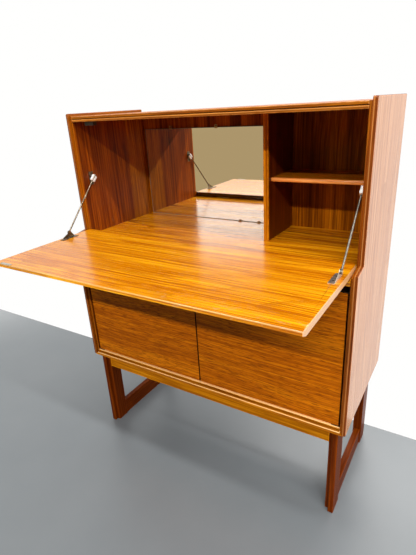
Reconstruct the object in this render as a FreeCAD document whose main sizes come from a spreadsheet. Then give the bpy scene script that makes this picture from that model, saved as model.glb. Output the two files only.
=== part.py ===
import FreeCAD, Part
import os
import re
import Sketcher

# Bar cabinet on sled legs: a two-door cupboard below, and above it a bar compartment closed by a
# fall flap that folds out into a serving shelf.  Millimetres.  +X is the cabinet's right, +Y its back
# and +Z up.  The origin is on the floor, midway between the sides, under the front edge of the upper
# part; the lower part stands forward of it.  The flap is modelled folded out, the doors shut.

# --------------------------------------------------------------------------------------------------
# Driving dimensions
# --------------------------------------------------------------------------------------------------
SIZES = {
    # case
    "cab_width": 915,
    "cab_height": 1129,
    "cab_depth": 400,
    "step_back": 50,            # the upper part's front edge lies this far behind the lower one's
    "underside": 304,           # clear height under the case
    "side_thick": 18,
    "top_thick": 16.5,
    "deck_height": 746,         # top of the bar's floor
    "deck_thick": 18,
    "bottom_thick": 18,
    "back_thick": 5,
    "back_inset": 5,            # the back lies this far inside the rear edges
    "rabbet_wide": 7.5,         # how far the back is let into each side
    # stepped edge strips
    "lip_wide": 10.5,           # the proud outer bead
    "lip_proud": 8.5,           # how far it stands in front of the inner bead
    "lip_deep": 16,
    "lip_round": 3,
    "bead_round": 3,            # outer front arrises of the sides
    "inner_round": 1.5,
    "corner_round": 5,
    "shoulder_fall": 8.5,       # the shoulder drops this much towards its front
    "rail_deep": 18.5,
    "rail_bead": 3.5,           # the top rail stands this far in front of the inner beads
    "rail_band": 7.5,           # its upper bead
    "rail_quirk": 1.5,          # the groove below that
    "rail_quirk_deep": 2.5,
    "rail_round": 2,
    "edge_strip": 6,            # solid edging of the deck, flap and partition
    "deck_setback": 7,
    # finger recess and cupboard
    "recess_high": 20,
    "recess_behind": 18,        # room for fingers behind the doors
    "recess_rail_high": 40,
    "recess_rail_thick": 18,
    "door_thick": 16,
    "door_setback": 12,
    "door_side_gap": 4,
    "door_meet_gap": 3,
    "door_foot_gap": 2,
    "door_round": 1.5,
    "door_pivot_inset": 8,
    "cupboard_shelf_rise": 193, # underside above the cupboard's floor
    "cupboard_shelf_thick": 16,
    "cupboard_shelf_setback": 90,
    "shelf_end_gap": 0.5,
    "peg_radius": 2.5,
    "peg_depth": 10,
    "peg_inset": 40,
    # bar compartment
    "bay_width": 290.5,         # right-hand bay beside the partition
    "partition_thick": 15,
    "partition_front": 154,
    "bar_shelf_drop": 175,      # top of the small shelf below the compartment's ceiling
    "bar_shelf_thick": 12,
    "bar_shelf_front": 214,
    "bar_shelf_round": 5,
    "housing": 4,               # depth of the grooves that hold the bar shelf
    "mirror_thick": 4,
    "mirror_top_gap": 43,
    "mirror_side_gap": 9.5,
    "mirror_edge_gap": 0.3,
    # mirror clips
    "clip_wide": 9,
    "clip_thick": 1.5,
    "clip_lap": 4,
    "clip_foot": 9,
    "clip_top_left": 119,       # clip middles from the mirror's left end
    "clip_foot_left": 390,
    "clip_top_right": 255.7,    # and from its right end
    "clip_foot_right": 101.7,
    # flap and its hinges
    "flap_thick": 17.5,
    "flap_gap": 2,              # between flap and deck, filled by the folded hinges
    "flap_top_gap": 1,
    "flap_side_gap": 1,
    "flap_round": 1.5,
    "hinge_long": 60,
    "hinge_inset": 138.5,       # outer hinges from the flap's ends
    "leaf_wide": 24,
    "leaf_thick": 0.9,
    "barrel_radius": 2.5,
    "barrel_room": 0.3,
    "knuckle_gap": 0.3,
    "hinge_pin_radius": 1.2,
    "running_gap": 0.05,
    # stays
    "stay_inset": 10,           # rod centre line from the side's inner face
    "stay_foot_reach": 95.5,    # bracket pivot in front of the flap's pivot
    "stay_foot_rise": 14.5,     # and above the flap
    "stay_block_back": 49,
    "stay_block_rise": 182,     # block above the deck
    "rod_root": 5,              # the rod starts this far from its pivot, inside the eye
    "rod_radius": 2.25,
    "rod_stop_radius": 3.5,
    "rod_stop_long": 3,
    "rod_eye_radius": 6,
    "rod_eye_thick": 2.5,
    "rod_side_gap": 0.25,
    "rod_bore_gap": 0.3,
    "block_long": 20,
    "block_high": 17,
    "block_thick": 8,
    "block_slot": 4,            # narrower than the rod, which snaps in
    "block_round": 1.5,
    "bracket_thick": 1.5,
    "bracket_wide": 15,
    "bracket_front": 40,        # foot in front of the rod's pivot
    "bracket_rear": 20,
    "bracket_eye_radius": 6,
    "bracket_toe": 3,           # the web stands back this far from each end of the foot
    "bracket_screw_inset": 17,
    "rivet_radius": 2,
    "rivet_head_radius": 3.5,
    "rivet_head_thick": 0.9,
    "plate_thick": 2,
    "plate_wide": 17,
    "plate_long": 42,
    "plate_screw_inset": 6,
    "stud_radius": 4,
    "stud_gap": 0.3,
    # door pivots
    "pivot_plate": 24,
    "pivot_plate_thick": 1.5,
    "pivot_pin_radius": 2,
    "pivot_pin_long": 9,
    "bush_radius": 4,
    "bush_long": 10,
    # catches
    "catch_wide": 36,
    "catch_high": 12,
    "catch_deep": 15,
    "catch_gap": 0.3,
    "catch_drop": 6,
    "flap_catch_inset": 49.5,
    "door_catch_x": 32,
    "strike_wide": 40,
    "strike_high": 10,
    "strike_thick": 1,
    "strike_from_edge": 5.5,
    # screws
    "screw_radius": 1.3,
    "screw_head_radius": 2.6,
    "screw_head_deep": 0.85,
    "screw_long": 11,
    "clip_screw_long": 10,      # these end inside the thin back
    # legs
    "post_wide": 27,
    "post_deep": 56,
    "post_bead": 15.5,          # width of the post's proud outer strip
    "post_step": 13.5,
    "post_inset": 21.5,
    "post_setback": 13.5,
    "post_back_gap": 8.5,
    "post_round": 3,
    "foot_round": 1.5,
    "leg_rail_thick": 19,
    "leg_rail_high": 58,
    "leg_rail_round": 2,
    "apron_thick": 19,
    "apron_high": 57,
    "apron_round": 1.5,
}

# Planes and lines worked out from the sizes; each is a formula on the sheet's cells.
OUTER = "(cab_width / 2)"
INNER = "(cab_width / 2 - side_thick)"
FRONT = "(-step_back)"
REAR = "(cab_depth - step_back)"
BACK_FACE = "(cab_depth - step_back - back_inset - back_thick)"
TOP = "(cab_height - lip_proud)"
CEILING = "(cab_height - lip_proud - top_thick)"
RAIL_FRONT = "(lip_proud - rail_bead)"
RAIL_REAR = f"({RAIL_FRONT} + rail_deep)"
QUIRK_TOP = f"({TOP} - rail_band)"
QUIRK_FOOT = f"({QUIRK_TOP} - rail_quirk)"
DECK = "(deck_height)"
FLOOR = "(underside + bottom_thick)"
FLAP_UNDER = "(deck_height + flap_gap)"
FLAP_TOP = "(deck_height + flap_gap + flap_thick)"
FLAP_SIDE = "(cab_width / 2 - side_thick - flap_side_gap)"
PIVOT_Y = "(lip_proud - flap_gap / 2)"
PIVOT_Z = "(deck_height + flap_gap / 2)"
FLAP_REAR = "(lip_proud - flap_gap)"
FLAP_LONG = "(cab_height - lip_proud - top_thick - flap_top_gap - deck_height - flap_gap)"
FLAP_FRONT = f"({FLAP_REAR} - {FLAP_LONG})"
FLAP_SHUT_FACE = "(lip_proud + flap_thick)"
DOOR_FRONT = "(door_setback - step_back)"
DOOR_BACK = "(door_setback - step_back + door_thick)"
DOOR_TOP = "(deck_height - deck_thick - recess_high)"
DOOR_FOOT = f"({FLOOR} + door_foot_gap)"
DOOR_SIDE = f"({INNER} - door_side_gap)"
SHELF_LOW = f"({FLOOR} + cupboard_shelf_rise)"
BAY_LEFT = f"({INNER} - bay_width)"
PARTITION_LEFT = f"({BAY_LEFT} - partition_thick)"
BAR_SHELF_TOP = f"({CEILING} - bar_shelf_drop)"
BAR_SHELF_LOW = f"({BAR_SHELF_TOP} - bar_shelf_thick)"
MIRROR_LEFT = f"(-{INNER} + mirror_side_gap)"
MIRROR_RIGHT = f"({PARTITION_LEFT} - mirror_edge_gap)"
MIRROR_TOP = f"({CEILING} - mirror_top_gap)"
RECESS_RAIL = f"({DOOR_BACK} + recess_behind)"
STAY_X = f"({INNER} - stay_inset)"
STAY_Y = f"({PIVOT_Y} - stay_foot_reach)"
STAY_Z = f"({FLAP_TOP} + stay_foot_rise)"
BLOCK_Z = "(deck_height + stay_block_rise)"
STAY_REACH = f"hypot(stay_block_back - {STAY_Y}; {BLOCK_Z} - {STAY_Z})"
STAY_ANGLE = f"atan2({BLOCK_Z} - {STAY_Z}; stay_block_back - {STAY_Y})"
POST_OUT = "(cab_width / 2 - post_inset)"
POST_IN = "(cab_width / 2 - post_inset - post_wide)"
POST_FRONT = "(post_setback - step_back)"
POST_REAR = f"({POST_FRONT} + post_deep)"
LEG_MIDDLE_Y = f"(({POST_FRONT} + {REAR} - post_back_gap) / 2)"
LEG_MIDDLE_X = f"(({POST_OUT} + {POST_IN}) / 2)"

doc = FreeCAD.newDocument("bar_cabinet")
sheet = doc.addObject("Spreadsheet::Sheet", "Sizes")
for row, (alias, size) in enumerate(SIZES.items(), start=1):
    sheet.set(f"A{row}", alias)
    sheet.set(f"B{row}", str(size))
    sheet.setAlias(f"B{row}", alias)
doc.recompute()


# --------------------------------------------------------------------------------------------------
# Helpers
# --------------------------------------------------------------------------------------------------
def formula(text):
    """Turn a formula on plain size names into one on the sheet's cells."""
    return re.sub(r"[a-z_]+", lambda word: f"Sizes.{word[0]}" if word[0] in SIZES else word[0], str(text))


def value(text):
    """The present value of a formula, in millimetres or degrees."""
    found = sheet.evalExpression(formula(text))
    return float(getattr(found, "Value", found))


def bind(item, prop, text):
    item.setExpression(prop, formula(text))


def place(item, x="0", y="0", z="0", rotation=None):
    """Bind an object's position, with a fixed turn where one is given."""
    if rotation is not None:
        item.Placement = FreeCAD.Placement(FreeCAD.Vector(), rotation)
    for axis, text in zip("xyz", (x, y, z)):
        bind(item, f"Placement.Base.{axis}", text)


def size_box(item, x, y, z):
    """Stretch a box between the low and high formulas given along each axis."""
    for prop, (low, high) in zip(("Length", "Width", "Height"), (x, y, z)):
        bind(item, prop, f"({high}) - ({low})")
    place(item, x[0], y[0], z[0])
    return item


def board(name, x, y, z):
    return size_box(doc.addObject("Part::Box", name), x, y, z)


AXIS_TURN = {
    "x": FreeCAD.Rotation(FreeCAD.Vector(0, 1, 0), 90),
    "-x": FreeCAD.Rotation(FreeCAD.Vector(0, 1, 0), -90),
    "y": FreeCAD.Rotation(FreeCAD.Vector(1, 0, 0), -90),
    "z": FreeCAD.Rotation(),
    "-z": FreeCAD.Rotation(FreeCAD.Vector(1, 0, 0), 180),
}


def cylinder(name, axis, radius, long, start):
    """A cylinder from its start point along an axis."""
    item = doc.addObject("Part::Cylinder", name)
    bind(item, "Radius", radius)
    bind(item, "Height", long)
    place(item, *start, rotation=AXIS_TURN[axis])
    return item


def group(name, items):
    item = doc.addObject("Part::Compound", name)
    item.Links = items
    return item


def fuse(name, items):
    item = doc.addObject("Part::MultiFuse", name)
    item.Shapes = items
    item.Refine = True
    return item


def cut(name, base, tools):
    item = doc.addObject("Part::Cut", name)
    item.Base = base
    item.Tool = tools[0] if len(tools) == 1 else group(f"{name}_tools", tools)
    return item


def mirrored(name, source, base="0", normal=(1, 0, 0)):
    """The source's mirror image, in the plane through `base` on the normal's axis."""
    item = doc.addObject("Part::Mirroring", name)
    item.Source = source
    item.Normal = FreeCAD.Vector(*normal)
    axis = "xyz"[normal.index(1)]
    bind(item, f"Base.{axis}", base)
    return item


def outline(body, name, plane, level, points):
    """A closed polygon sketch on a body's own plane, lifted to `level`.

    Each corner is held by its two distances from the origin, and both are formulas."""
    sketch = body.newObject("Sketcher::SketchObject", name)
    origin_plane = next(item for item in body.Origin.OriginFeatures if item.Role == plane)
    sketch.AttachmentSupport = [(origin_plane, "")]
    sketch.MapMode = "FlatFace"
    bind(sketch, "AttachmentOffset.Base.z", level)
    corners = [FreeCAD.Vector(value(across), value(up), 0) for across, up in points]
    for start, end in zip(corners, corners[1:] + corners[:1]):
        sketch.addGeometry(Part.LineSegment(start, end), False)
    for line in range(len(corners)):
        sketch.addConstraint(Sketcher.Constraint("Coincident", line, 2, (line + 1) % len(corners), 1))
    for line, corner in enumerate(points):
        for kind, text in zip(("DistanceX", "DistanceY"), corner):
            number = sketch.addConstraint(Sketcher.Constraint(kind, -1, 1, line, 1, value(text)))
            bind(sketch, f"Constraints[{number}]", text)
    return sketch


def pad(body, sketch, long):
    feature = body.newObject("PartDesign::Pad", f"{sketch.Name}_pad")
    feature.Profile = sketch
    bind(feature, "Length", long)
    body.Tip = feature
    return feature


def carve(body, name, x, y, z):
    """Take a box out of a body."""
    return size_box(body.newObject("PartDesign::SubtractiveBox", name), x, y, z)


CLOSE = 0.01


def near(first, second):
    return abs(first - value(second)) < CLOSE


def round_edges(body, radius, chosen, crosswise=False):
    """Round the straight edges whose two ends both pass the test; crosswise takes only those along X."""
    doc.recompute()
    base = body.Tip
    names = []
    for number, edge in enumerate(base.Shape.Edges, start=1):
        ends = [vertex.Point for vertex in edge.Vertexes]
        if len(ends) != 2 or not isinstance(edge.Curve, Part.Line):
            continue
        if crosswise and abs(ends[0].x - ends[1].x) < CLOSE:
            continue
        if all(chosen(end) for end in ends):
            names.append(f"Edge{number}")
    if not names:
        raise RuntimeError(f"{body.Name}: no edge to round")
    feature = body.newObject("PartDesign::Fillet", f"{body.Name}_round")
    feature.Base = (base, names)
    bind(feature, "Radius", radius)
    body.Tip = feature
    return feature


def solid_board(name, x, y, z):
    """A board as a body, so that its arrises can be rounded."""
    body = doc.addObject("PartDesign::Body", name)
    size_box(body.newObject("PartDesign::AdditiveBox", f"{name}_blank"), x, y, z)
    return body


def screw(name, axis, x, y, z, long="screw_long"):
    """A countersunk wood screw; the point given is the middle of its head, and it runs along the axis."""
    head = doc.addObject("Part::Cone", f"{name}_head")
    bind(head, "Radius1", "screw_head_radius")
    bind(head, "Radius2", "screw_radius")
    bind(head, "Height", "screw_head_deep")
    place(head, x, y, z, rotation=AXIS_TURN[axis])
    shank = cylinder(f"{name}_shank", axis, "screw_radius", long, (x, y, z))
    return fuse(name, [head, shank])


def screw_room(name, axis, x, y, z):
    """What a screw needs cut away from the pieces that it goes through."""
    head = doc.addObject("Part::Cone", f"{name}_sink")
    bind(head, "Radius1", "screw_head_radius + running_gap")
    bind(head, "Radius2", "screw_radius + running_gap")
    bind(head, "Height", "screw_head_deep")
    place(head, x, y, z, rotation=AXIS_TURN[axis])
    pilot = cylinder(
        f"{name}_pilot", axis, "screw_radius + running_gap", "screw_long + running_gap", (x, y, z))
    return fuse(f"{name}_room", [head, pilot])


nodes = {}


def keep(name, item):
    """Hand an object in as a sub-part under its own name."""
    item.Label = name
    nodes[name] = item
    return item


# --------------------------------------------------------------------------------------------------
# Sides: veneered boards with a shoulder, and stepped strips of solid wood round their front and top
# --------------------------------------------------------------------------------------------------
BOARD_FRONT = f"({FRONT} + lip_deep)"
SHOULDER_FRONT = f"({FLAP_TOP} - shoulder_fall)"


def side_blank(name):
    """The right-hand side board, behind and below its edge strips."""
    body = doc.addObject("PartDesign::Body", name)
    profile = outline(body, f"{name}_profile", "YZ_Plane", INNER, [
        (BOARD_FRONT, "underside"),
        (BOARD_FRONT, f"{SHOULDER_FRONT} - lip_deep"),
        ("lip_deep", f"{FLAP_TOP} - lip_deep"),
        ("lip_deep", "cab_height - lip_deep"),
        (REAR, "cab_height - lip_deep"),
        (REAR, "underside"),
    ])
    pad(body, profile, "side_thick")
    round_edges(body, "corner_round", lambda end: near(end.x, OUTER) and near(end.z, "underside"))
    carve(body, f"{name}_rabbet", (INNER, f"{INNER} + rabbet_wide"), (BACK_FACE, REAR), ("underside", TOP))
    return body


def peg_rows(name, side):
    """Room for two shelf pegs in one side; side is 1 on the right and -1 on the left."""
    rooms = []
    for label, y in (("front", PEG_FRONT), ("rear", PEG_REAR)):
        start = (f"{side} * ({INNER} - peg_depth)", y, PEG_HEIGHT)
        axis = "x" if side > 0 else "-x"
        rooms.append(cylinder(f"{name}_{label}", axis, "peg_radius + running_gap", "2 * peg_depth", start))
    return rooms


SHELF_FRONT = f"({FRONT} + cupboard_shelf_setback)"
PEG_HEIGHT = f"({SHELF_LOW} - peg_radius - running_gap)"
PEG_FRONT = f"({SHELF_FRONT} + peg_inset)"
PEG_REAR = f"({BACK_FACE} - peg_inset)"
PLATE_LOW = f"({BLOCK_Z} - plate_long / 2)"
PLATE_TOP = f"({BLOCK_Z} + plate_long / 2)"
PLATE_SCREWS = (f"({PLATE_LOW} + plate_screw_inset)", f"({PLATE_TOP} - plate_screw_inset)")


def plate_screw_rooms(name, side):
    axis = "x" if side > 0 else "-x"
    return [
        screw_room(f"{name}_{row}", axis, f"{side} * ({INNER} - plate_thick)", "stay_block_back", height)
        for row, height in enumerate(PLATE_SCREWS)
    ]


right_blank = side_blank("side_blank_right")
left_blank = mirrored("side_blank_left", side_blank("side_blank_to_mirror"))
shelf_housing = board(
    "shelf_housing_right",
    (f"{INNER} - housing", f"{INNER} + housing"),
    ("bar_shelf_front", BACK_FACE),
    (BAR_SHELF_LOW, BAR_SHELF_TOP),
)
right_rooms = [shelf_housing] + peg_rows("peg_room_right", 1) + plate_screw_rooms("plate_room_right", 1)
left_rooms = peg_rows("peg_room_left", -1) + plate_screw_rooms("plate_room_left", -1)
keep("side_panel_right", cut("side_panel_right", right_blank, right_rooms))
keep("side_panel_left", cut("side_panel_left", left_blank, left_rooms))

strip = doc.addObject("PartDesign::Body", "side_front_lipping_right")
proud_bead = outline(strip, "proud_bead", "YZ_Plane", f"{OUTER} - lip_wide", [
    (FRONT, "underside"),
    (FRONT, SHOULDER_FRONT),
    ("0", FLAP_TOP),
    ("0", "cab_height"),
    ("lip_deep", "cab_height"),
    ("lip_deep", f"{FLAP_TOP} - lip_deep"),
    (BOARD_FRONT, f"{SHOULDER_FRONT} - lip_deep"),
    (BOARD_FRONT, "underside"),
])
pad(strip, proud_bead, "lip_wide")
inner_bead = outline(strip, "inner_bead", "YZ_Plane", INNER, [
    (f"{FRONT} + lip_proud", "underside"),
    (f"{FRONT} + lip_proud", f"{SHOULDER_FRONT} - lip_proud"),
    ("lip_proud", f"{FLAP_TOP} - lip_proud"),
    ("lip_proud", TOP),
    ("lip_deep", TOP),
    ("lip_deep", f"{FLAP_TOP} - lip_deep"),
    (BOARD_FRONT, f"{SHOULDER_FRONT} - lip_deep"),
    (BOARD_FRONT, "underside"),
])
pad(strip, inner_bead, "side_thick - lip_wide")
mitre = outline(strip, "mitre", "XZ_Plane", f"-({BOARD_FRONT})", [
    (INNER, "underside"),
    (f"{INNER} + lip_wide", "underside"),
    (INNER, "underside + lip_wide"),
])
mitre_cut = strip.newObject("PartDesign::Pocket", "mitre_cut")
mitre_cut.Profile = mitre
mitre_cut.Type = "ThroughAll"
mitre_cut.Midplane = True
strip.Tip = mitre_cut
round_edges(strip, "corner_round", lambda end: (near(end.x, OUTER) and near(end.z, "underside"))
            or (near(end.y, "0") and near(end.z, "cab_height")))
round_edges(strip, "inner_round", lambda end: near(end.x, INNER) and near(end.y, f"{FRONT} + lip_proud"))
round_edges(strip, "bead_round", lambda end: near(end.x, OUTER) and (near(end.y, FRONT) or near(end.y, "0")))
keep("side_front_lipping_right", strip)
keep("side_front_lipping_left", mirrored("side_front_lipping_left", strip))

strip = doc.addObject("PartDesign::Body", "side_top_lipping_right")
top_profile = outline(strip, "top_profile", "XZ_Plane", f"-({REAR})", [
    (INNER, "cab_height - lip_deep"),
    (INNER, TOP),
    (f"{OUTER} - lip_wide", TOP),
    (f"{OUTER} - lip_wide", "cab_height"),
    (OUTER, "cab_height"),
    (OUTER, "cab_height - lip_deep"),
])
pad(strip, top_profile, f"{REAR} - lip_deep")
carve(strip, "top_rabbet", (INNER, f"{INNER} + rabbet_wide"), (BACK_FACE, REAR),
      ("cab_height - lip_deep", TOP))
round_edges(strip, "lip_round", lambda end: near(end.x, f"{OUTER} - lip_wide") and near(end.z, "cab_height"))
round_edges(strip, "bead_round", lambda end: near(end.x, OUTER) and near(end.z, "cab_height"))
keep("side_top_lipping_right", strip)
keep("side_top_lipping_left", mirrored("side_top_lipping_left", strip))

# --------------------------------------------------------------------------------------------------
# Case: top, deck, recess rail, bottom and back
# --------------------------------------------------------------------------------------------------
ACROSS = (f"-{INNER}", INNER)

keep("top_panel", board("top_panel", ACROSS, (RAIL_REAR, BACK_FACE), (CEILING, TOP)))

rail = doc.addObject("PartDesign::Body", "top_rail")
rail_profile = outline(rail, "rail_profile", "YZ_Plane", f"-{INNER}", [
    (RAIL_FRONT, CEILING),
    (RAIL_FRONT, QUIRK_FOOT),
    (f"{RAIL_FRONT} + rail_quirk_deep", QUIRK_FOOT),
    (f"{RAIL_FRONT} + rail_quirk_deep", QUIRK_TOP),
    (RAIL_FRONT, QUIRK_TOP),
    (RAIL_FRONT, TOP),
    (RAIL_REAR, TOP),
    (RAIL_REAR, CEILING),
])
pad(rail, rail_profile, f"2 * {INNER}")
round_edges(rail, "rail_round", lambda end: near(end.y, RAIL_FRONT))
keep("top_rail", rail)

HINGE_PLACES = (f"(-{FLAP_SIDE} + hinge_inset)", "0", f"({FLAP_SIDE} - hinge_inset)")


def barrel_rooms(name, radius):
    """Grooves for the three hinge barrels along the flap's pivot."""
    return [
        cylinder(f"{name}_{number}", "x", radius, "hinge_long + 2 * knuckle_gap",
                 (f"{place_x} - hinge_long / 2 - knuckle_gap", PIVOT_Y, PIVOT_Z))
        for number, place_x in enumerate(HINGE_PLACES)
    ]


def hinge_screw_points():
    """Head centres of the hinge screws across and along, as formulas."""
    return [
        (f"{place_x} + {shift} * hinge_long / 3", f"{PIVOT_Y} - leaf_wide / 2")
        for place_x in HINGE_PLACES
        for shift in (-1, 0, 1)
    ]


deck_rooms = barrel_rooms("deck_barrel_room", "barrel_radius + barrel_room")
for number, (x, y) in enumerate(hinge_screw_points()):
    deck_rooms.append(screw_room(f"deck_hinge_room_{number}", "-z", x, y, f"{DECK} + leaf_thick"))
CLIP_FRONT = f"({BACK_FACE} - mirror_thick - mirror_edge_gap - clip_thick)"
CLIP_FOOT_MIDDLE = f"({CLIP_FRONT} - clip_foot / 2 + clip_thick)"
MIRROR_CLIPS_TOP = (f"({MIRROR_LEFT} + clip_top_left)", f"({MIRROR_RIGHT} - clip_top_right)")
MIRROR_CLIPS_FOOT = (f"({MIRROR_LEFT} + clip_foot_left)", f"({MIRROR_RIGHT} - clip_foot_right)")
for number, x in enumerate(MIRROR_CLIPS_FOOT):
    deck_rooms.append(
        screw_room(f"deck_clip_room_{number}", "-z", x, CLIP_FOOT_MIDDLE, f"{DECK} + clip_thick"))
deck_board = board(
    "deck_board", ACROSS, (f"{FRONT} + deck_setback + edge_strip", BACK_FACE), (f"{DECK} - deck_thick", DECK))
keep("bar_deck", cut("bar_deck", deck_board, deck_rooms))
deck_edge = solid_board(
    "deck_lipping", ACROSS,
    (f"{FRONT} + deck_setback", f"{FRONT} + deck_setback + edge_strip"), (f"{DECK} - deck_thick", DECK))
round_edges(deck_edge, "inner_round", lambda end: near(end.y, f"{FRONT} + deck_setback"))
keep("deck_lipping", deck_edge)

keep("recess_rail", board(
    "recess_rail", ACROSS, (RECESS_RAIL, f"{RECESS_RAIL} + recess_rail_thick"),
    (f"{DECK} - deck_thick - recess_rail_high", f"{DECK} - deck_thick")))

keep("bottom_panel", board("bottom_panel", ACROSS, (BOARD_FRONT, BACK_FACE), ("underside", FLOOR)))
moulding = doc.addObject("PartDesign::Body", "bottom_moulding")
lower_bead = outline(moulding, "lower_bead", "XZ_Plane", f"-({BOARD_FRONT})", [
    (f"-{INNER} - lip_wide", "underside"),
    (f"{INNER} + lip_wide", "underside"),
    (INNER, "underside + lip_wide"),
    (f"-{INNER}", "underside + lip_wide"),
])
pad(moulding, lower_bead, "lip_deep")
upper_bead = outline(moulding, "upper_bead", "XZ_Plane", f"-({BOARD_FRONT})", [
    (f"-{INNER}", "underside + lip_wide"),
    (INNER, "underside + lip_wide"),
    (INNER, FLOOR),
    (f"-{INNER}", FLOOR),
])
pad(moulding, upper_bead, "lip_deep - lip_proud")
round_edges(moulding, "lip_round", lambda end: near(end.y, FRONT) and near(end.z, "underside + lip_wide"))
round_edges(moulding, "inner_round", lambda end: near(end.y, f"{FRONT} + lip_proud") and near(end.z, FLOOR))
keep("bottom_moulding", moulding)

BACK_ACROSS = (f"-({INNER} + rabbet_wide)", f"{INNER} + rabbet_wide")
clip_back_rooms = [
    screw_room(f"back_clip_room_{number}", "y", x, CLIP_FRONT, f"{MIRROR_TOP} + clip_lap")
    for number, x in enumerate(MIRROR_CLIPS_TOP)
]
back_board = board("back_board", BACK_ACROSS, (BACK_FACE, f"{BACK_FACE} + back_thick"), ("underside", TOP))
keep("back_panel", cut("back_panel", back_board, clip_back_rooms))

# --------------------------------------------------------------------------------------------------
# Bar compartment: partition, shelf and mirror
# --------------------------------------------------------------------------------------------------
partition_blank = board(
    "partition_blank", (PARTITION_LEFT, BAY_LEFT), ("partition_front + edge_strip", BACK_FACE),
    (DECK, CEILING))
housing_left = board(
    "shelf_housing_left", (f"{BAY_LEFT} - housing", f"{BAY_LEFT} + housing"), ("bar_shelf_front", BACK_FACE),
    (BAR_SHELF_LOW, BAR_SHELF_TOP))
keep("partition", cut("partition", partition_blank, [housing_left]))
partition_edge = solid_board(
    "partition_lipping", (PARTITION_LEFT, BAY_LEFT),
    ("partition_front", "partition_front + edge_strip"), (DECK, CEILING))
round_edges(partition_edge, "inner_round", lambda end: near(end.y, "partition_front"))
keep("partition_lipping", partition_edge)

bar_shelf = solid_board(
    "bar_shelf", (f"{BAY_LEFT} - housing", f"{INNER} + housing"), ("bar_shelf_front", BACK_FACE),
    (BAR_SHELF_LOW, BAR_SHELF_TOP))
round_edges(bar_shelf, "bar_shelf_round", lambda end: near(end.y, "bar_shelf_front") and (
    near(end.z, BAR_SHELF_LOW) or near(end.z, BAR_SHELF_TOP)))
keep("bar_shelf", bar_shelf)

keep("mirror", board(
    "mirror", (MIRROR_LEFT, MIRROR_RIGHT), (f"{BACK_FACE} - mirror_thick", BACK_FACE), (DECK, MIRROR_TOP)))

clips = []
clip_screws = []
for number, x in enumerate(MIRROR_CLIPS_TOP):
    across = (f"{x} - clip_wide / 2", f"{x} + clip_wide / 2")
    lap = board(f"clip_lap_{number}", across, (CLIP_FRONT, f"{CLIP_FRONT} + clip_thick"),
                (f"{MIRROR_TOP} - clip_lap", f"{MIRROR_TOP} + 2 * clip_lap"))
    block = board(f"clip_block_{number}", across, (CLIP_FRONT, BACK_FACE),
                  (f"{MIRROR_TOP} + mirror_edge_gap", f"{MIRROR_TOP} + 2 * clip_lap"))
    height = f"{MIRROR_TOP} + clip_lap"
    clips.append(cut(f"clip_top_{number}", fuse(f"clip_top_blank_{number}", [lap, block]),
                     [screw_room(f"clip_top_hole_{number}", "y", x, CLIP_FRONT, height)]))
    clip_screws.append(screw(f"clip_top_screw_{number}", "y", x, CLIP_FRONT, height, "clip_screw_long"))
for number, x in enumerate(MIRROR_CLIPS_FOOT):
    across = (f"{x} - clip_wide / 2", f"{x} + clip_wide / 2")
    lap = board(f"clip_rise_{number}", across, (CLIP_FRONT, f"{CLIP_FRONT} + clip_thick"),
                (DECK, f"{DECK} + clip_lap + clip_thick"))
    foot = board(f"clip_sole_{number}", across,
                 (f"{CLIP_FRONT} + clip_thick - clip_foot", f"{CLIP_FRONT} + clip_thick"),
                 (DECK, f"{DECK} + clip_thick"))
    height = f"{DECK} + clip_thick"
    clips.append(cut(f"clip_foot_{number}", fuse(f"clip_foot_blank_{number}", [lap, foot]),
                     [screw_room(f"clip_foot_hole_{number}", "-z", x, CLIP_FOOT_MIDDLE, height)]))
    clip_screws.append(screw(f"clip_foot_screw_{number}", "-z", x, CLIP_FOOT_MIDDLE, height))
keep("mirror_clips", group("mirror_clips", clips))

# --------------------------------------------------------------------------------------------------
# Cupboard: loose shelf on pegs
# --------------------------------------------------------------------------------------------------
keep("cupboard_shelf", board(
    "cupboard_shelf", (f"-{INNER} + shelf_end_gap", f"{INNER} - shelf_end_gap"), (SHELF_FRONT, BACK_FACE),
    (SHELF_LOW, f"{SHELF_LOW} + cupboard_shelf_thick")))
pegs = []
for side, axis in ((1, "x"), (-1, "-x")):
    for label, y in (("front", PEG_FRONT), ("rear", PEG_REAR)):
        start = (f"{side} * ({INNER} - peg_depth)", y, PEG_HEIGHT)
        pegs.append(cylinder(f"peg_{label}_{'right' if side > 0 else 'left'}", axis, "peg_radius",
                             "2 * peg_depth - running_gap", start))
keep("cupboard_shelf_pegs", group("cupboard_shelf_pegs", pegs))

# --------------------------------------------------------------------------------------------------
# Legs: two sled frames of stepped posts and rails, joined by aprons
# --------------------------------------------------------------------------------------------------
post = doc.addObject("PartDesign::Body", "leg_post_front_right")
section = outline(post, "post_section", "XY_Plane", "0", [
    (f"{POST_OUT} - post_bead", POST_FRONT),
    (POST_OUT, POST_FRONT),
    (POST_OUT, POST_REAR),
    (POST_IN, POST_REAR),
    (POST_IN, f"{POST_FRONT} + post_step"),
    (f"{POST_OUT} - post_bead", f"{POST_FRONT} + post_step"),
])
pad(post, section, "underside")
round_edges(post, "post_round", lambda end: near(end.y, POST_FRONT) and (
    near(end.x, POST_OUT) or near(end.x, f"{POST_OUT} - post_bead")))
round_edges(post, "foot_round", lambda end: near(end.y, f"{POST_FRONT} + post_step") and near(end.x, POST_IN))
keep("leg_post_front_right", post)
rear_post = mirrored("leg_post_rear_right", post, LEG_MIDDLE_Y, (0, 1, 0))
keep("leg_post_rear_right", rear_post)
keep("leg_post_front_left", mirrored("leg_post_front_left", post))
keep("leg_post_rear_left", mirrored("leg_post_rear_left", rear_post))

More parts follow.
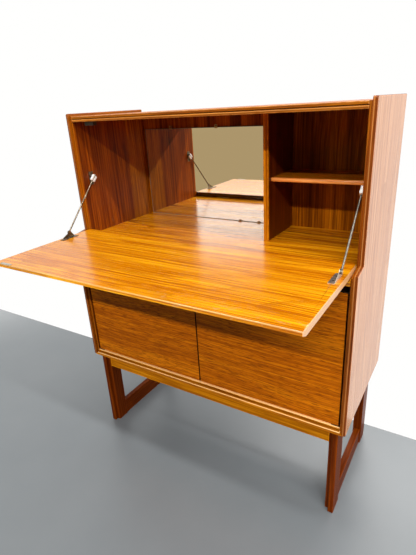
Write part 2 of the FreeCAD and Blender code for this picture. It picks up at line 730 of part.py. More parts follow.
RAIL_ACROSS = (f"{LEG_MIDDLE_X} - leg_rail_thick / 2", f"{LEG_MIDDLE_X} + leg_rail_thick / 2")
RAIL_ALONG = (POST_REAR, f"2 * {LEG_MIDDLE_Y} - {POST_REAR}")
base_rail = solid_board("leg_base_rail_right", RAIL_ACROSS, RAIL_ALONG, ("0", "leg_rail_high"))
round_edges(base_rail, "leg_rail_round", lambda end: near(end.z, "leg_rail_high") and (
    near(end.x, RAIL_ACROSS[0]) or near(end.x, RAIL_ACROSS[1])))
keep("leg_base_rail_right", base_rail)
keep("leg_base_rail_left", mirrored("leg_base_rail_left", base_rail))
bearer = board("leg_bearer_right", RAIL_ACROSS, RAIL_ALONG, ("underside - apron_high", "underside"))
keep("leg_bearer_right", bearer)
keep("leg_bearer_left", mirrored("leg_bearer_left", bearer))

apron = solid_board(
    "apron_front", (f"-{POST_IN}", POST_IN),
    (f"{POST_FRONT} + post_step", f"{POST_FRONT} + post_step + apron_thick"),
    ("underside - apron_high", "underside"))
round_edges(apron, "apron_round", lambda end: near(end.z, "underside - apron_high") and (
    near(end.y, f"{POST_FRONT} + post_step") or near(end.y, f"{POST_FRONT} + post_step + apron_thick")))
keep("apron_front", apron)
keep("apron_rear", mirrored("apron_rear", apron, LEG_MIDDLE_Y, (0, 1, 0)))

# --------------------------------------------------------------------------------------------------
# Flap: veneered panel edged in solid wood, folded out
# --------------------------------------------------------------------------------------------------
BRACKET_OUT = f"({STAY_X} - rod_radius - rod_side_gap)"
BRACKET_IN = f"({BRACKET_OUT} - bracket_wide)"
BRACKET_SCREW_X = f"({BRACKET_IN} + (bracket_wide - bracket_thick) / 2)"
BRACKET_SCREWS = (
    f"{STAY_Y} - bracket_front + bracket_screw_inset",
    f"{STAY_Y} + bracket_rear - bracket_screw_inset",
)

flap_rooms = barrel_rooms("flap_barrel_room", "barrel_radius + barrel_room")
for number, (x, y) in enumerate(hinge_screw_points()):
    flap_rooms.append(screw_room(f"flap_hinge_room_{number}", "z", x, y, f"{FLAP_UNDER} - leaf_thick"))
for side in (1, -1):
    for number, y in enumerate(BRACKET_SCREWS):
        flap_rooms.append(screw_room(f"flap_bracket_room_{number}_{'right' if side > 0 else 'left'}", "-z",
                                     f"{side} * {BRACKET_SCREW_X}", y, f"{FLAP_TOP} + bracket_thick"))
flap_blank = board(
    "flap_blank", (f"-{FLAP_SIDE} + edge_strip", f"{FLAP_SIDE} - edge_strip"),
    (f"{FLAP_FRONT} + edge_strip", FLAP_REAR), (FLAP_UNDER, FLAP_TOP))
keep("flap_panel", cut("flap_panel", flap_blank, flap_rooms))
flap_edge = solid_board(
    "flap_lipping_front", (f"-{FLAP_SIDE}", FLAP_SIDE), (FLAP_FRONT, f"{FLAP_FRONT} + edge_strip"),
    (FLAP_UNDER, FLAP_TOP))
round_edges(flap_edge, "flap_round", lambda end: near(end.y, FLAP_FRONT) and (
    near(end.z, FLAP_TOP) or near(end.z, FLAP_UNDER)))
keep("flap_lipping_front", flap_edge)
flap_end = solid_board(
    "flap_lipping_right", (f"{FLAP_SIDE} - edge_strip", FLAP_SIDE), (f"{FLAP_FRONT} + edge_strip", FLAP_REAR),
    (FLAP_UNDER, FLAP_TOP))
round_edges(flap_end, "flap_round", lambda end: near(end.x, FLAP_SIDE) and (
    near(end.z, FLAP_TOP) or near(end.z, FLAP_UNDER)))
keep("flap_lipping_right", flap_end)
keep("flap_lipping_left", mirrored("flap_lipping_left", flap_end))

# --------------------------------------------------------------------------------------------------
# Flap hinges: butt hinges that lie folded between deck and flap
# --------------------------------------------------------------------------------------------------
KNUCKLE = "(hinge_long / 5)"


def hinge_leaf(name, place_x, z, knuckles):
    """One leaf with its share of the five knuckles, bored for the pin."""
    plate = board(f"{name}_plate", (f"{place_x} - hinge_long / 2", f"{place_x} + hinge_long / 2"),
                  (f"{PIVOT_Y} - leaf_wide", PIVOT_Y), z)
    bore_start = (f"{place_x} - hinge_long / 2 - knuckle_gap", PIVOT_Y, PIVOT_Z)
    bore_long = "hinge_long + 2 * knuckle_gap"
    free = cylinder(f"{name}_free", "x", "barrel_radius + barrel_room", bore_long, bore_start)
    pieces = [cut(f"{name}_leaf", plate, [free])]
    for index in knuckles:
        start = f"{place_x} - hinge_long / 2 + {index} * {KNUCKLE} + knuckle_gap / 2"
        pieces.append(cylinder(f"{name}_knuckle_{index}", "x", "barrel_radius", f"{KNUCKLE} - knuckle_gap",
                               (start, PIVOT_Y, PIVOT_Z)))
        pieces.append(board(f"{name}_neck_{index}", (start, f"{start} + {KNUCKLE} - knuckle_gap"),
                            (f"{PIVOT_Y} - leaf_wide / 3", PIVOT_Y), z))
    bore = cylinder(f"{name}_bore", "x", "hinge_pin_radius + running_gap", bore_long, bore_start)
    return fuse(f"{name}_blank", pieces), bore


DECK_LEAF = (DECK, f"{DECK} + leaf_thick")
FLAP_LEAF = (f"{FLAP_UNDER} - leaf_thick", FLAP_UNDER)
deck_leaves = []
flap_leaves = []
hinge_pins = []
deck_screws = []
flap_screws = []
for number, place_x in enumerate(HINGE_PLACES):
    own = [(index, point) for index, point in enumerate(hinge_screw_points()) if index // 3 == number]
    blank, bore = hinge_leaf(f"deck_leaf_{number}", place_x, DECK_LEAF, (0, 2, 4))
    holes = [screw_room(f"deck_leaf_hole_{index}", "-z", x, y, DECK_LEAF[1]) for index, (x, y) in own]
    deck_leaves.append(cut(f"deck_leaf_{number}", blank, [bore] + holes))
    blank, bore = hinge_leaf(f"flap_leaf_{number}", place_x, FLAP_LEAF, (1, 3))
    holes = [screw_room(f"flap_leaf_hole_{index}", "z", x, y, FLAP_LEAF[0]) for index, (x, y) in own]
    flap_leaves.append(cut(f"flap_leaf_{number}", blank, [bore] + holes))
    hinge_pins.append(cylinder(f"hinge_pin_{number}", "x", "hinge_pin_radius", "hinge_long",
                               (f"{place_x} - hinge_long / 2", PIVOT_Y, PIVOT_Z)))
    for index, (x, y) in own:
        deck_screws.append(screw(f"deck_hinge_screw_{index}", "-z", x, y, DECK_LEAF[1]))
        flap_screws.append(screw(f"flap_hinge_screw_{index}", "z", x, y, FLAP_LEAF[0]))
keep("flap_hinge_deck_leaves", group("flap_hinge_deck_leaves", deck_leaves))
keep("flap_hinge_flap_leaves", group("flap_hinge_flap_leaves", flap_leaves))
keep("flap_hinge_pins", group("flap_hinge_pins", hinge_pins))

# --------------------------------------------------------------------------------------------------
# Stays: each rod swings on a bracket on the flap and slides through a block that swivels on the side
# --------------------------------------------------------------------------------------------------
foot = board("bracket_foot", (BRACKET_IN, BRACKET_OUT),
             (f"{STAY_Y} - bracket_front", f"{STAY_Y} + bracket_rear"),
             (FLAP_TOP, f"{FLAP_TOP} + bracket_thick"))
web_body = doc.addObject("PartDesign::Body", "bracket_web")
web = outline(web_body, "web_outline", "YZ_Plane", f"{BRACKET_OUT} - bracket_thick", [
    (f"{STAY_Y} - bracket_front + bracket_toe", FLAP_TOP),
    (f"{STAY_Y} - bracket_eye_radius", STAY_Z),
    (f"{STAY_Y} - bracket_eye_radius / 2", f"{STAY_Z} + bracket_eye_radius"),
    (f"{STAY_Y} + bracket_eye_radius / 2", f"{STAY_Z} + bracket_eye_radius"),
    (f"{STAY_Y} + bracket_eye_radius", STAY_Z),
    (f"{STAY_Y} + bracket_rear - bracket_toe", FLAP_TOP),
])
pad(web_body, web, "bracket_thick")
round_edges(web_body, "bracket_eye_radius / 2",
            lambda end: near(end.z, f"{STAY_Z} + bracket_eye_radius"), crosswise=True)
RIVET_HEAD = f"({STAY_X} + rod_eye_thick / 2 + rod_side_gap)"
rivet_head = cylinder("bracket_rivet_head", "x", "rivet_head_radius", "rivet_head_thick",
                      (RIVET_HEAD, STAY_Y, STAY_Z))
rivet_shank = cylinder("bracket_rivet_shank", "x", "rivet_radius",
                       f"{RIVET_HEAD} - {BRACKET_OUT} + bracket_thick",
                       (f"{BRACKET_OUT} - bracket_thick", STAY_Y, STAY_Z))
bracket_blank = fuse("bracket_blank", [foot, web_body, rivet_shank, rivet_head])
bracket = cut("stay_bracket_right", bracket_blank, [
    screw_room(f"bracket_hole_{number}", "-z", BRACKET_SCREW_X, y, f"{FLAP_TOP} + bracket_thick")
    for number, y in enumerate(BRACKET_SCREWS)
])
keep("stay_bracket_right", bracket)
keep("stay_bracket_left", mirrored("stay_bracket_left", bracket))
for side, label in ((1, "right"), (-1, "left")):
    for number, y in enumerate(BRACKET_SCREWS):
        flap_screws.append(screw(f"bracket_screw_{number}_{label}", "-z", f"{side} * {BRACKET_SCREW_X}", y,
                                 f"{FLAP_TOP} + bracket_thick"))


def along_rod(item, start):
    """Lay a piece, made along +Z, on the rod's line with its foot `start` from the rod's pivot."""
    item.Placement = FreeCAD.Placement(FreeCAD.Vector(), FreeCAD.Rotation(FreeCAD.Vector(1, 0, 0), 45))
    bind(item, "Placement.Base.x", STAY_X)
    bind(item, "Placement.Base.y", f"{STAY_Y} + ({start}) * cos({STAY_ANGLE})")
    bind(item, "Placement.Base.z", f"{STAY_Z} + ({start}) * sin({STAY_ANGLE})")
    bind(item, "Placement.Rotation.Angle", f"{STAY_ANGLE} - 90 deg")
    return item


def rod_cylinder(name, radius, long, start):
    item = doc.addObject("Part::Cylinder", name)
    bind(item, "Radius", radius)
    bind(item, "Height", long)
    return along_rod(item, start)


ROD_END = f"({STAY_REACH} + block_long / 2 + catch_gap)"
rod_shaft = rod_cylinder("rod_shaft", "rod_radius", f"{ROD_END} - rod_root", "rod_root")
rod_stop = rod_cylinder("rod_stop", "rod_stop_radius", "rod_stop_long", ROD_END)
EYE_IN = (f"{STAY_X} - rod_eye_thick / 2", STAY_Y, STAY_Z)
EYE_OUT = (f"{STAY_X} + rod_eye_thick / 2", STAY_Y, STAY_Z)
rod_eye = cylinder("rod_eye", "x", "rod_eye_radius", "rod_eye_thick", EYE_IN)
eye_bore = cylinder("rod_eye_bore", "x", "rivet_radius + running_gap", f"{RIVET_HEAD} - {BRACKET_OUT}",
                    (BRACKET_OUT, STAY_Y, STAY_Z))
head_room = cylinder("rod_head_room", "x", "rivet_head_radius + rod_bore_gap", "rod_eye_thick", EYE_OUT)
web_room = cylinder("rod_web_room", "-x", "rivet_head_radius + rod_bore_gap", "rod_eye_thick", EYE_IN)
rod_blank = fuse("rod_blank", [rod_shaft, rod_stop, rod_eye])
rod = cut("stay_rod_right", rod_blank, [eye_bore, head_room, web_room])
keep("stay_rod_right", rod)
keep("stay_rod_left", mirrored("stay_rod_left", rod))

block_body = doc.addObject("PartDesign::Body", "block_body")
block_blank = block_body.newObject("PartDesign::AdditiveBox", "block_blank")
bind(block_blank, "Length", "block_thick")
bind(block_blank, "Width", "block_high")
bind(block_blank, "Height", "block_long")
place(block_blank, "-block_thick / 2", "-block_high / 2", "-block_long / 2")
round_edges(block_body, "block_round", lambda end: True)
carve(block_body, "block_slot", ("-block_thick / 2", "0"), ("-block_slot / 2", "block_slot / 2"),
      ("-block_long / 2", "block_long / 2"))
along_rod(block_body, STAY_REACH)
block_bore = rod_cylinder("block_bore", "rod_radius + rod_bore_gap", "2 * block_long",
                          f"{STAY_REACH} - block_long")
block = cut("stay_block_right", block_body, [block_bore])
keep("stay_block_right", block)
keep("stay_block_left", mirrored("stay_block_left", block))

swivel_plate = board("swivel_plate", (f"{INNER} - plate_thick", INNER),
                     ("stay_block_back - plate_wide / 2", "stay_block_back + plate_wide / 2"),
                     (PLATE_LOW, PLATE_TOP))
stud = cylinder("swivel_stud", "x", "stud_radius", "stay_inset - block_thick / 2 - stud_gap",
                (f"{STAY_X} + block_thick / 2 + stud_gap", "stay_block_back", BLOCK_Z))
plate = cut("stay_plate_right", fuse("swivel_plate_blank", [swivel_plate, stud]), [
    screw_room(f"plate_hole_{number}", "x", f"{INNER} - plate_thick", "stay_block_back", height)
    for number, height in enumerate(PLATE_SCREWS)
])
keep("stay_plate_right", plate)
keep("stay_plate_left", mirrored("stay_plate_left", plate))
plate_screws = []
for side, label, axis in ((1, "right", "x"), (-1, "left", "-x")):
    for number, height in enumerate(PLATE_SCREWS):
        plate_screws.append(screw(f"plate_screw_{number}_{label}", axis, f"{side} * ({INNER} - plate_thick)",
                                  "stay_block_back", height))

keep("case_screws", group("case_screws", deck_screws + clip_screws + plate_screws))
keep("flap_screws", group("flap_screws", flap_screws))

# --------------------------------------------------------------------------------------------------
# Doors: plain panels that turn on pins let into their top and bottom edges
# --------------------------------------------------------------------------------------------------
PIN_X = f"({DOOR_SIDE} - door_pivot_inset)"
PIN_Y = f"({DOOR_FRONT} + door_pivot_inset)"


def right_door():
    body = solid_board(
        "door_blank", ("door_meet_gap / 2", DOOR_SIDE), (DOOR_FRONT, DOOR_BACK), (DOOR_FOOT, DOOR_TOP))
    round_edges(body, "door_round", lambda end: near(end.y, DOOR_FRONT))
    sockets = [
        cylinder(f"bush_socket_{label}", axis, "bush_radius + running_gap", "bush_long", (PIN_X, PIN_Y, z))
        for label, axis, z in (("foot", "z", DOOR_FOOT), ("top", "-z", DOOR_TOP))
    ]
    return cut("door_right", body, sockets)


def bush(name, axis, z):
    sleeve = cylinder(f"{name}_sleeve", axis, "bush_radius", "bush_long", (PIN_X, PIN_Y, z))
    bore = cylinder(f"{name}_bore", axis, "pivot_pin_radius + running_gap", "bush_long", (PIN_X, PIN_Y, z))
    return cut(name, sleeve, [bore])


door = right_door()
keep("door_right", door)
keep("door_left", mirrored("door_left", door))
bushes = group("door_bushes_right", [bush("bush_foot", "z", DOOR_FOOT), bush("bush_top", "-z", DOOR_TOP)])
keep("door_bushes_right", bushes)
keep("door_bushes_left", mirrored("door_bushes_left", bushes))

PIVOT_ACROSS = (f"{INNER} - pivot_plate", INNER)
PIVOT_ALONG = (DOOR_FRONT, f"{DOOR_FRONT} + pivot_plate")
TOP_EAR = f"({DOOR_TOP} + door_foot_gap / 2)"
foot_plate = board("pivot_foot_plate", PIVOT_ACROSS, PIVOT_ALONG, (FLOOR, f"{FLOOR} + pivot_plate_thick"))
foot_pin = cylinder("pivot_foot_pin", "z", "pivot_pin_radius", "pivot_pin_long + door_foot_gap",
                    (PIN_X, PIN_Y, FLOOR))
ear = board("pivot_ear", PIVOT_ACROSS, PIVOT_ALONG, (TOP_EAR, f"{TOP_EAR} + pivot_plate_thick"))
cheek = board("pivot_cheek", (f"{INNER} - pivot_plate_thick", INNER), PIVOT_ALONG,
              (TOP_EAR, f"{DECK} - deck_thick"))
top_pin = cylinder("pivot_top_pin", "-z", "pivot_pin_radius", "pivot_pin_long + pivot_plate_thick",
                   (PIN_X, PIN_Y, f"{TOP_EAR} + pivot_plate_thick"))
pivots = [fuse("pivot_foot", [foot_plate, foot_pin]), fuse("pivot_top", [ear, cheek, top_pin])]
pivots += [mirrored(f"{item.Name}_left", item) for item in pivots]
keep("door_pivots", group("door_pivots", pivots))

# --------------------------------------------------------------------------------------------------
# Magnetic catches and their strike plates
# --------------------------------------------------------------------------------------------------
CATCH_TOP = f"({DOOR_TOP} - catch_drop)"
catch_right = board(
    "door_catch_right", ("door_catch_x - catch_wide / 2", "door_catch_x + catch_wide / 2"),
    (f"{DOOR_BACK} + strike_thick + catch_gap", RECESS_RAIL), (f"{CATCH_TOP} - catch_high", CATCH_TOP))
keep("door_catches", group("door_catches", [catch_right, mirrored("door_catch_left", catch_right)]))
strike = board(
    "door_strike_right", ("door_catch_x - strike_wide / 2", "door_catch_x + strike_wide / 2"),
    (DOOR_BACK, f"{DOOR_BACK} + strike_thick"),
    (f"{CATCH_TOP} - catch_high / 2 - strike_high / 2", f"{CATCH_TOP} - catch_high / 2 + strike_high / 2"))
keep("door_strike_right", strike)
keep("door_strike_left", mirrored("door_strike_left", strike))

FLAP_CATCH_X = f"(flap_catch_inset - {INNER})"
FLAP_CATCH_Y = f"({FLAP_SHUT_FACE} + strike_thick + catch_gap)"
FLAP_STRIKE_Y = f"({FLAP_FRONT} + strike_from_edge)"
keep("flap_catch", board(
    "flap_catch", (f"{FLAP_CATCH_X} - catch_wide / 2", f"{FLAP_CATCH_X} + catch_wide / 2"),
    (FLAP_CATCH_Y, f"{FLAP_CATCH_Y} + catch_deep"),
    (f"{CEILING} - catch_high", CEILING)))
keep("flap_strike", board(
    "flap_strike", (f"{FLAP_CATCH_X} - strike_wide / 2", f"{FLAP_CATCH_X} + strike_wide / 2"),
    (f"{FLAP_STRIKE_Y} - strike_high / 2", f"{FLAP_STRIKE_Y} + strike_high / 2"),
    (FLAP_TOP, f"{FLAP_TOP} + strike_thick")))

# --------------------------------------------------------------------------------------------------
# Check and write
# --------------------------------------------------------------------------------------------------
doc.recompute()
faults = [item.Name for item in doc.Objects if {"Invalid", "Error"} & set(item.State)]
for name, item in nodes.items():
    shape = item.Shape
    if shape.isNull() or not shape.isValid() or not shape.Solids:
        faults.append(name)
if faults:
    raise RuntimeError(f"failed: {faults}")

os.makedirs("parts", exist_ok=True)
for name, item in nodes.items():
    item.Shape.exportStep(os.path.join("parts", f"{name}.step"))
    box = item.Shape.BoundBox
    print(f"{name:26s} solids {len(item.Shape.Solids):2d}  x {box.XMin:7.1f} {box.XMax:7.1f}"
          f"  y {box.YMin:7.1f} {box.YMax:7.1f}  z {box.ZMin:7.1f} {box.ZMax:7.1f}")
print(len(nodes), "sub-parts")
for label, text in (("rod angle", STAY_ANGLE), ("rod reach", STAY_REACH), ("pivot y", PIVOT_Y),
                    ("pivot z", PIVOT_Z), ("stay x", STAY_X), ("stay y", STAY_Y), ("stay z", STAY_Z),
                    ("pin x", PIN_X), ("pin y", PIN_Y)):
    print(f"{label}: {value(text):.4f}")
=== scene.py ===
# %% [markdown]
# # A teak bar cabinet with a fold-out shelf
# This lesson dresses a finished CAD model of a 1960s style bar cabinet. The solids come in first
# and stay where they are. We give them wood, metal, glass and nylon finishes, and build a few
# pieces in more detail: the flap's edge, the small shelf and the screws. Every length is in
# metres, with X to the cabinet's right, Y to its back and Z up.

import math
import random

import bmesh
import bpy
from mathutils import Matrix, Vector


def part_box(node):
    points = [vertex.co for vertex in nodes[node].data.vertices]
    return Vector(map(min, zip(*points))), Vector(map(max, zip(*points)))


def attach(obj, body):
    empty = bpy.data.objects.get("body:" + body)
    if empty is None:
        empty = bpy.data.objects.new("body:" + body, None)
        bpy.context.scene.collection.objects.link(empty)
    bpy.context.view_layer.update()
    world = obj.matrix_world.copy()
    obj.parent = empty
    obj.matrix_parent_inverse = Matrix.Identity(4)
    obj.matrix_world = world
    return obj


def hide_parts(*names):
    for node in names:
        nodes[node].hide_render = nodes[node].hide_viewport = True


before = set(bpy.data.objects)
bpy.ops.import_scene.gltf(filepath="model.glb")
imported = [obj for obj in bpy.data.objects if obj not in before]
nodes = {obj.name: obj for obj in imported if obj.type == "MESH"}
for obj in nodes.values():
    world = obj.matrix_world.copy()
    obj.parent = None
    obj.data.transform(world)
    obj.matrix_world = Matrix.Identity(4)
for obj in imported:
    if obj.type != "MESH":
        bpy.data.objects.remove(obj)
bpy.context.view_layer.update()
MM = 0.001

# %% [markdown]
# ## Camera
# A camera is easiest to place by the three turns that a person makes with it: turn to the side,
# look down, tilt. From these we build its axes and hand them over as one matrix. The lens is a
# little wide, as on a phone, so it stands close and the near end of the open shelf looms large.

# %% Place the camera
CAMERA_PLACE = Vector((651.26, -959.38, 1129.04)) * MM
CAMERA_TURN = 0.575835
CAMERA_DOWN = 0.383432
CAMERA_TILT = -0.060459
LENS = 27.627
SENSOR_WIDTH = 36
NEAREST = 0.05

look = Vector((
    -math.sin(CAMERA_TURN) * math.cos(CAMERA_DOWN),
    math.cos(CAMERA_TURN) * math.cos(CAMERA_DOWN),
    -math.sin(CAMERA_DOWN),
))
level_right = look.cross(Vector((0, 0, 1))).normalized()
level_up = level_right.cross(look)
right = math.cos(CAMERA_TILT) * level_right + math.sin(CAMERA_TILT) * level_up
up = -math.sin(CAMERA_TILT) * level_right + math.cos(CAMERA_TILT) * level_up

camera = bpy.data.objects.new("camera", bpy.data.cameras.new("camera"))
bpy.context.scene.collection.objects.link(camera)
camera.data.sensor_width = SENSOR_WIDTH
camera.data.lens = LENS
camera.data.clip_start = NEAREST
camera_axes = Matrix((right, up, -look)).transposed().to_4x4()
camera.matrix_world = Matrix.Translation(CAMERA_PLACE) @ camera_axes
bpy.context.scene.camera = camera
bpy.context.scene.view_settings.view_transform = "Standard"
print("camera at", [round(value, 3) for value in CAMERA_PLACE], "lens", LENS)

# %% [markdown]
# ## Writing materials as sums
# Materials, the room's light and the tree that makes the screws are all graphs of nodes. One
# small function builds any of them: it adds a node, sets it up and links what goes into its
# sockets.

# %% One helper for any node tree
def wire(tree, kind, settings, sockets, output=0):
    """Add a node to a tree: its settings first, then the values or links of its sockets."""
    node = tree.nodes.new(kind)
    for key, value in settings.items():
        setattr(node, key, value)
    for key, value in sockets.items():
        if isinstance(value, bpy.types.NodeSocket):
            tree.links.new(value, node.inputs[key])
        else:
            node.inputs[key].default_value = value
    return node.outputs[output] if node.outputs else node


print("wiring ready")

# %% [markdown]
# A pattern such as wood grain is easier to read as arithmetic than as a graph. This class wraps
# one output socket, and every operator on it adds the Math node that does the sum.


# %% A number that varies over a surface
class Amount:
    """A number that varies over a surface: one output socket of a material."""

    def __init__(self, finish, socket):
        self.finish = finish
        self.socket = socket

    def sum(self, operation, *terms):
        return self.finish.add("ShaderNodeMath", {"operation": operation}, dict(enumerate(terms)))

    def __add__(self, other):
        return self.sum("ADD", self, other)

    def __radd__(self, other):
        return self.sum("ADD", other, self)

    def __sub__(self, other):
        return self.sum("SUBTRACT", self, other)

    def __rsub__(self, other):
        return self.sum("SUBTRACT", other, self)

    def __mul__(self, other):
        return self.sum("MULTIPLY", self, other)

    def __pow__(self, other):
        return self.sum("POWER", self, other)

    def size(self):
        """The amount without its sign."""
        return self.sum("ABSOLUTE", self)

    def least(self, other):
        return self.sum("MINIMUM", self, other)

    def most(self, other):
        return self.sum("MAXIMUM", self, other)

    def between(self, low, high):
        """0 at low, 1 at high, and a soft step from the one to the other; low may be the larger."""
        return self.finish.add(
            "ShaderNodeMapRange", {"interpolation_type": "SMOOTHSTEP"},
            {"Value": self, "From Min": low, "From Max": high, "To Min": 0.0, "To Max": 1.0})


print("sums ready")

# %% [markdown]
# The second class holds a material round one Principled shader. Its methods add the nodes that
# many finishes share: stretched space, noise, a mix of two colours, the distance to a board's
# edge.


# %% A material under construction
class Finish:
    """A material under construction, round one Principled shader."""

    def __init__(self, name, **constants):
        self.material = bpy.data.materials.new(name)
        self.material.use_nodes = True
        self.tree = self.material.node_tree
        self.tree.nodes.clear()
        self.shader = self.tree.nodes.new("ShaderNodeBsdfPrincipled")
        self.output = self.tree.nodes.new("ShaderNodeOutputMaterial")
        self.tree.links.new(self.shader.outputs[0], self.output.inputs["Surface"])
        self.place = self.add("ShaderNodeTexCoord", {}, {}, "Object")
        self.feed(**constants)

    def add(self, kind, settings, sockets, output=0):
        plain = {key: value for key, value in settings.items() if key != "stops"}
        links = {key: value.socket if isinstance(value, Amount) else value
                 for key, value in sockets.items()}
        socket = wire(self.tree, kind, plain, links, output)
        if "stops" in settings:
            ramp = socket.node.color_ramp
            while len(ramp.elements) < len(settings["stops"]):
                ramp.elements.new(1.0)
            for element, (position, colour) in zip(ramp.elements, settings["stops"]):
                element.position = position
                element.color = (*colour, 1.0)
        return Amount(self, socket)

    def feed(self, **values):
        """Set or link the shader's sockets; base_color stands for Base Color."""
        for key, value in values.items():
            socket = self.shader.inputs[key.replace("_", " ").title().replace("Ior", "IOR")]
            if isinstance(value, Amount):
                self.tree.links.new(value.socket, socket)
            else:
                socket.default_value = value

    def stretched(self, place, scale, turn=(0, 0, 0), shift=(0, 0, 0)):
        return self.add("ShaderNodeMapping", {}, {
            "Vector": place, "Scale": scale, "Rotation": turn, "Location": shift})

    def noise(self, place, detail, roughness):
        return self.add("ShaderNodeTexNoise", {}, {
            "Vector": place, "Scale": 1.0, "Detail": detail, "Roughness": roughness})

    def axes(self, place):
        parts = self.add("ShaderNodeSeparateXYZ", {}, {0: place}).socket.node.outputs
        return [Amount(self, socket) for socket in parts]

    def blend(self, share, first, second):
        """Mix two colours; the share is how much of the second shows."""
        first, second = [
            colour if isinstance(colour, Amount) else (*colour, 1.0) for colour in (first, second)]
        return self.add(
            "ShaderNodeMix", {"data_type": "RGBA"}, {"Factor": share, 6: first, 7: second}, 2)

    def arris(self, name):
        """How far a point on a board's face is from the board's nearest edge."""
        low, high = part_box(name)
        gaps = [(place - start).least(end - place)
                for place, start, end in zip(self.axes(self.place), low, high)]
        first, second, third = gaps
        return first.least(second).most(first.most(second).least(third))

    def raise_by(self, height, depth, strength):
        """Bump the surface by a height between 0 and 1, `depth` metres tall at full strength."""
        self.feed(normal=self.add(
            "ShaderNodeBump", {}, {"Strength": strength, "Distance": depth, "Height": height}))


print("finishes ready")

# %% [markdown]
# ## Floor and light
# The floor is a plain grey disc that ends behind the cabinet, where a wall would start, and fades
# out at its rim. Only the camera sees its full grey: to all other rays it is darker, like a black
# cloth under a table in a studio, so that it throws little light on the fronts.

# %% The floor
FLOOR_RADIUS = 3.2
FLOOR_SIDES = 96
FLOOR_DROP = 0.2 * MM
FLOOR_FADE = (1.3, 3.1)
WALL_LINE = 0.39
WALL_BLUR = 2 * MM
FLOOR_GREYS = ((0.140, 0.158, 0.172), (0.185, 0.203, 0.215))
FLOOR_UNSEEN = (0.07, 0.07, 0.07)

floor_mesh = bpy.data.meshes.new("floor")
turns = [math.tau * side / FLOOR_SIDES for side in range(FLOOR_SIDES)]
rim = [(FLOOR_RADIUS * math.cos(turn), FLOOR_RADIUS * math.sin(turn), -FLOOR_DROP)
       for turn in turns]
floor_mesh.from_pydata(rim, [], [tuple(range(FLOOR_SIDES))])
floor = bpy.data.objects.new("floor", floor_mesh)
bpy.context.scene.collection.objects.link(floor)

paint = Finish("floor_paint", roughness=0.38, specular_ior_level=0.9)
cloud = paint.noise(paint.stretched(paint.place, (2.5, 2.5, 2.5)), 4.0, 0.6)
camera_ray = paint.add("ShaderNodeLightPath", {}, {}, "Is Camera Ray")
paint.feed(base_color=paint.blend(camera_ray, FLOOR_UNSEEN, paint.blend(cloud, *FLOOR_GREYS)))
across, along, _ = paint.axes(paint.place)
distance = (across * across + along * along) ** 0.5
behind_wall = along.between(WALL_LINE - WALL_BLUR, WALL_LINE + WALL_BLUR)
clear = paint.add("ShaderNodeBsdfTransparent", {}, {})
mixed = paint.add("ShaderNodeMixShader", {}, {
    0: distance.between(*FLOOR_FADE).most(behind_wall),
    1: Amount(paint, paint.shader.outputs[0]), 2: clear})
paint.tree.links.new(mixed.socket, paint.output.inputs["Surface"])
floor_mesh.materials.append(paint.material)
print("floor radius", FLOOR_RADIUS, "wall line at", WALL_LINE)

# %% [markdown]
# To the camera the room is plain white. Metal and glass mirror a white wall behind the cabinet
# and a dimmer, warm room in front of it. The light that the room gives is set apart from what is
# seen: it is lower in front than behind, so that the bar stays deep.

# %% The room
ROOM_WHITE = (1.0, 1.0, 0.99, 1.0)
ROOM_CREAM = (0.90, 0.80, 0.62, 1.0)
ROOM_BROWN = (0.44, 0.32, 0.16, 1.0)
LIGHT_BEHIND = 0.28
LIGHT_IN_FRONT = 0.10
FRONT_TO_BACK = (0.2, -0.2)
WAIST_HEIGHT = (-0.06, 0.10)

room = bpy.data.worlds.new("room")
bpy.context.scene.world = room
room.use_nodes = True
room_tree = room.node_tree
room_tree.nodes.clear()


def room_node(kind, settings, sockets, output=0):
    return wire(room_tree, kind, settings, sockets, output)


def room_step(value, low, high, first=0.0, last=1.0):
    return room_node("ShaderNodeMapRange", {"interpolation_type": "SMOOTHSTEP"}, {
        "Value": value, "From Min": low, "From Max": high, "To Min": first, "To Max": last})


def room_mix(share, first, second):
    return room_node(
        "ShaderNodeMix", {"data_type": "RGBA"}, {"Factor": share, 6: first, 7: second}, 2)


def room_sum(operation, first, second):
    return room_node(
        "ShaderNodeMath", {"operation": operation, "use_clamp": True}, {0: first, 1: second})


heading = room_node("ShaderNodeSeparateXYZ", {}, {
    0: room_node("ShaderNodeTexCoord", {}, {}, "Generated")}, "Y")
height = heading.node.outputs["Z"]
rays = room_node("ShaderNodeLightPath", {}, {}).node.outputs
mirrored = room_sum("ADD", rays["Is Glossy Ray"], rays["Is Transmission Ray"])
straight = room_sum("ADD", mirrored, rays["Is Camera Ray"])
straight = room_sum("SUBTRACT", straight, rays["Diffuse Depth"])
in_front = room_step(heading, *FRONT_TO_BACK)
front = room_mix(room_step(height, *WAIST_HEIGHT), ROOM_BROWN, ROOM_CREAM)
seen = room_mix(room_sum("MULTIPLY", in_front, mirrored), ROOM_WHITE, front)
colour = room_mix(straight, ROOM_WHITE, seen)
light = room_step(in_front, 0.0, 1.0, LIGHT_BEHIND, LIGHT_IN_FRONT)
strength = room_node("ShaderNodeMix", {}, {"Factor": straight, "A": light, "B": 1.0})
background = room_node("ShaderNodeBackground", {}, {"Color": colour, "Strength": strength})
room_node("ShaderNodeOutputWorld", {}, {"Surface": background})
print("room light behind", LIGHT_BEHIND, "in front", LIGHT_IN_FRONT)

# %% [markdown]
# Three long strips hang in front, one behind the other and parallel to the cabinet's front. A
# strip gives a crisp shadow only to edges that run along it: the flap's edge draws one line on
# the doors and the top rail another on the sides. A softer strip hangs behind. A low window on
# the left is what the deck mirrors in front of the looking glass, and a wide panel stands on
# either side for the outer faces.

# %% The lamps
LAMP_WHITE = (1.0, 0.985, 0.96)


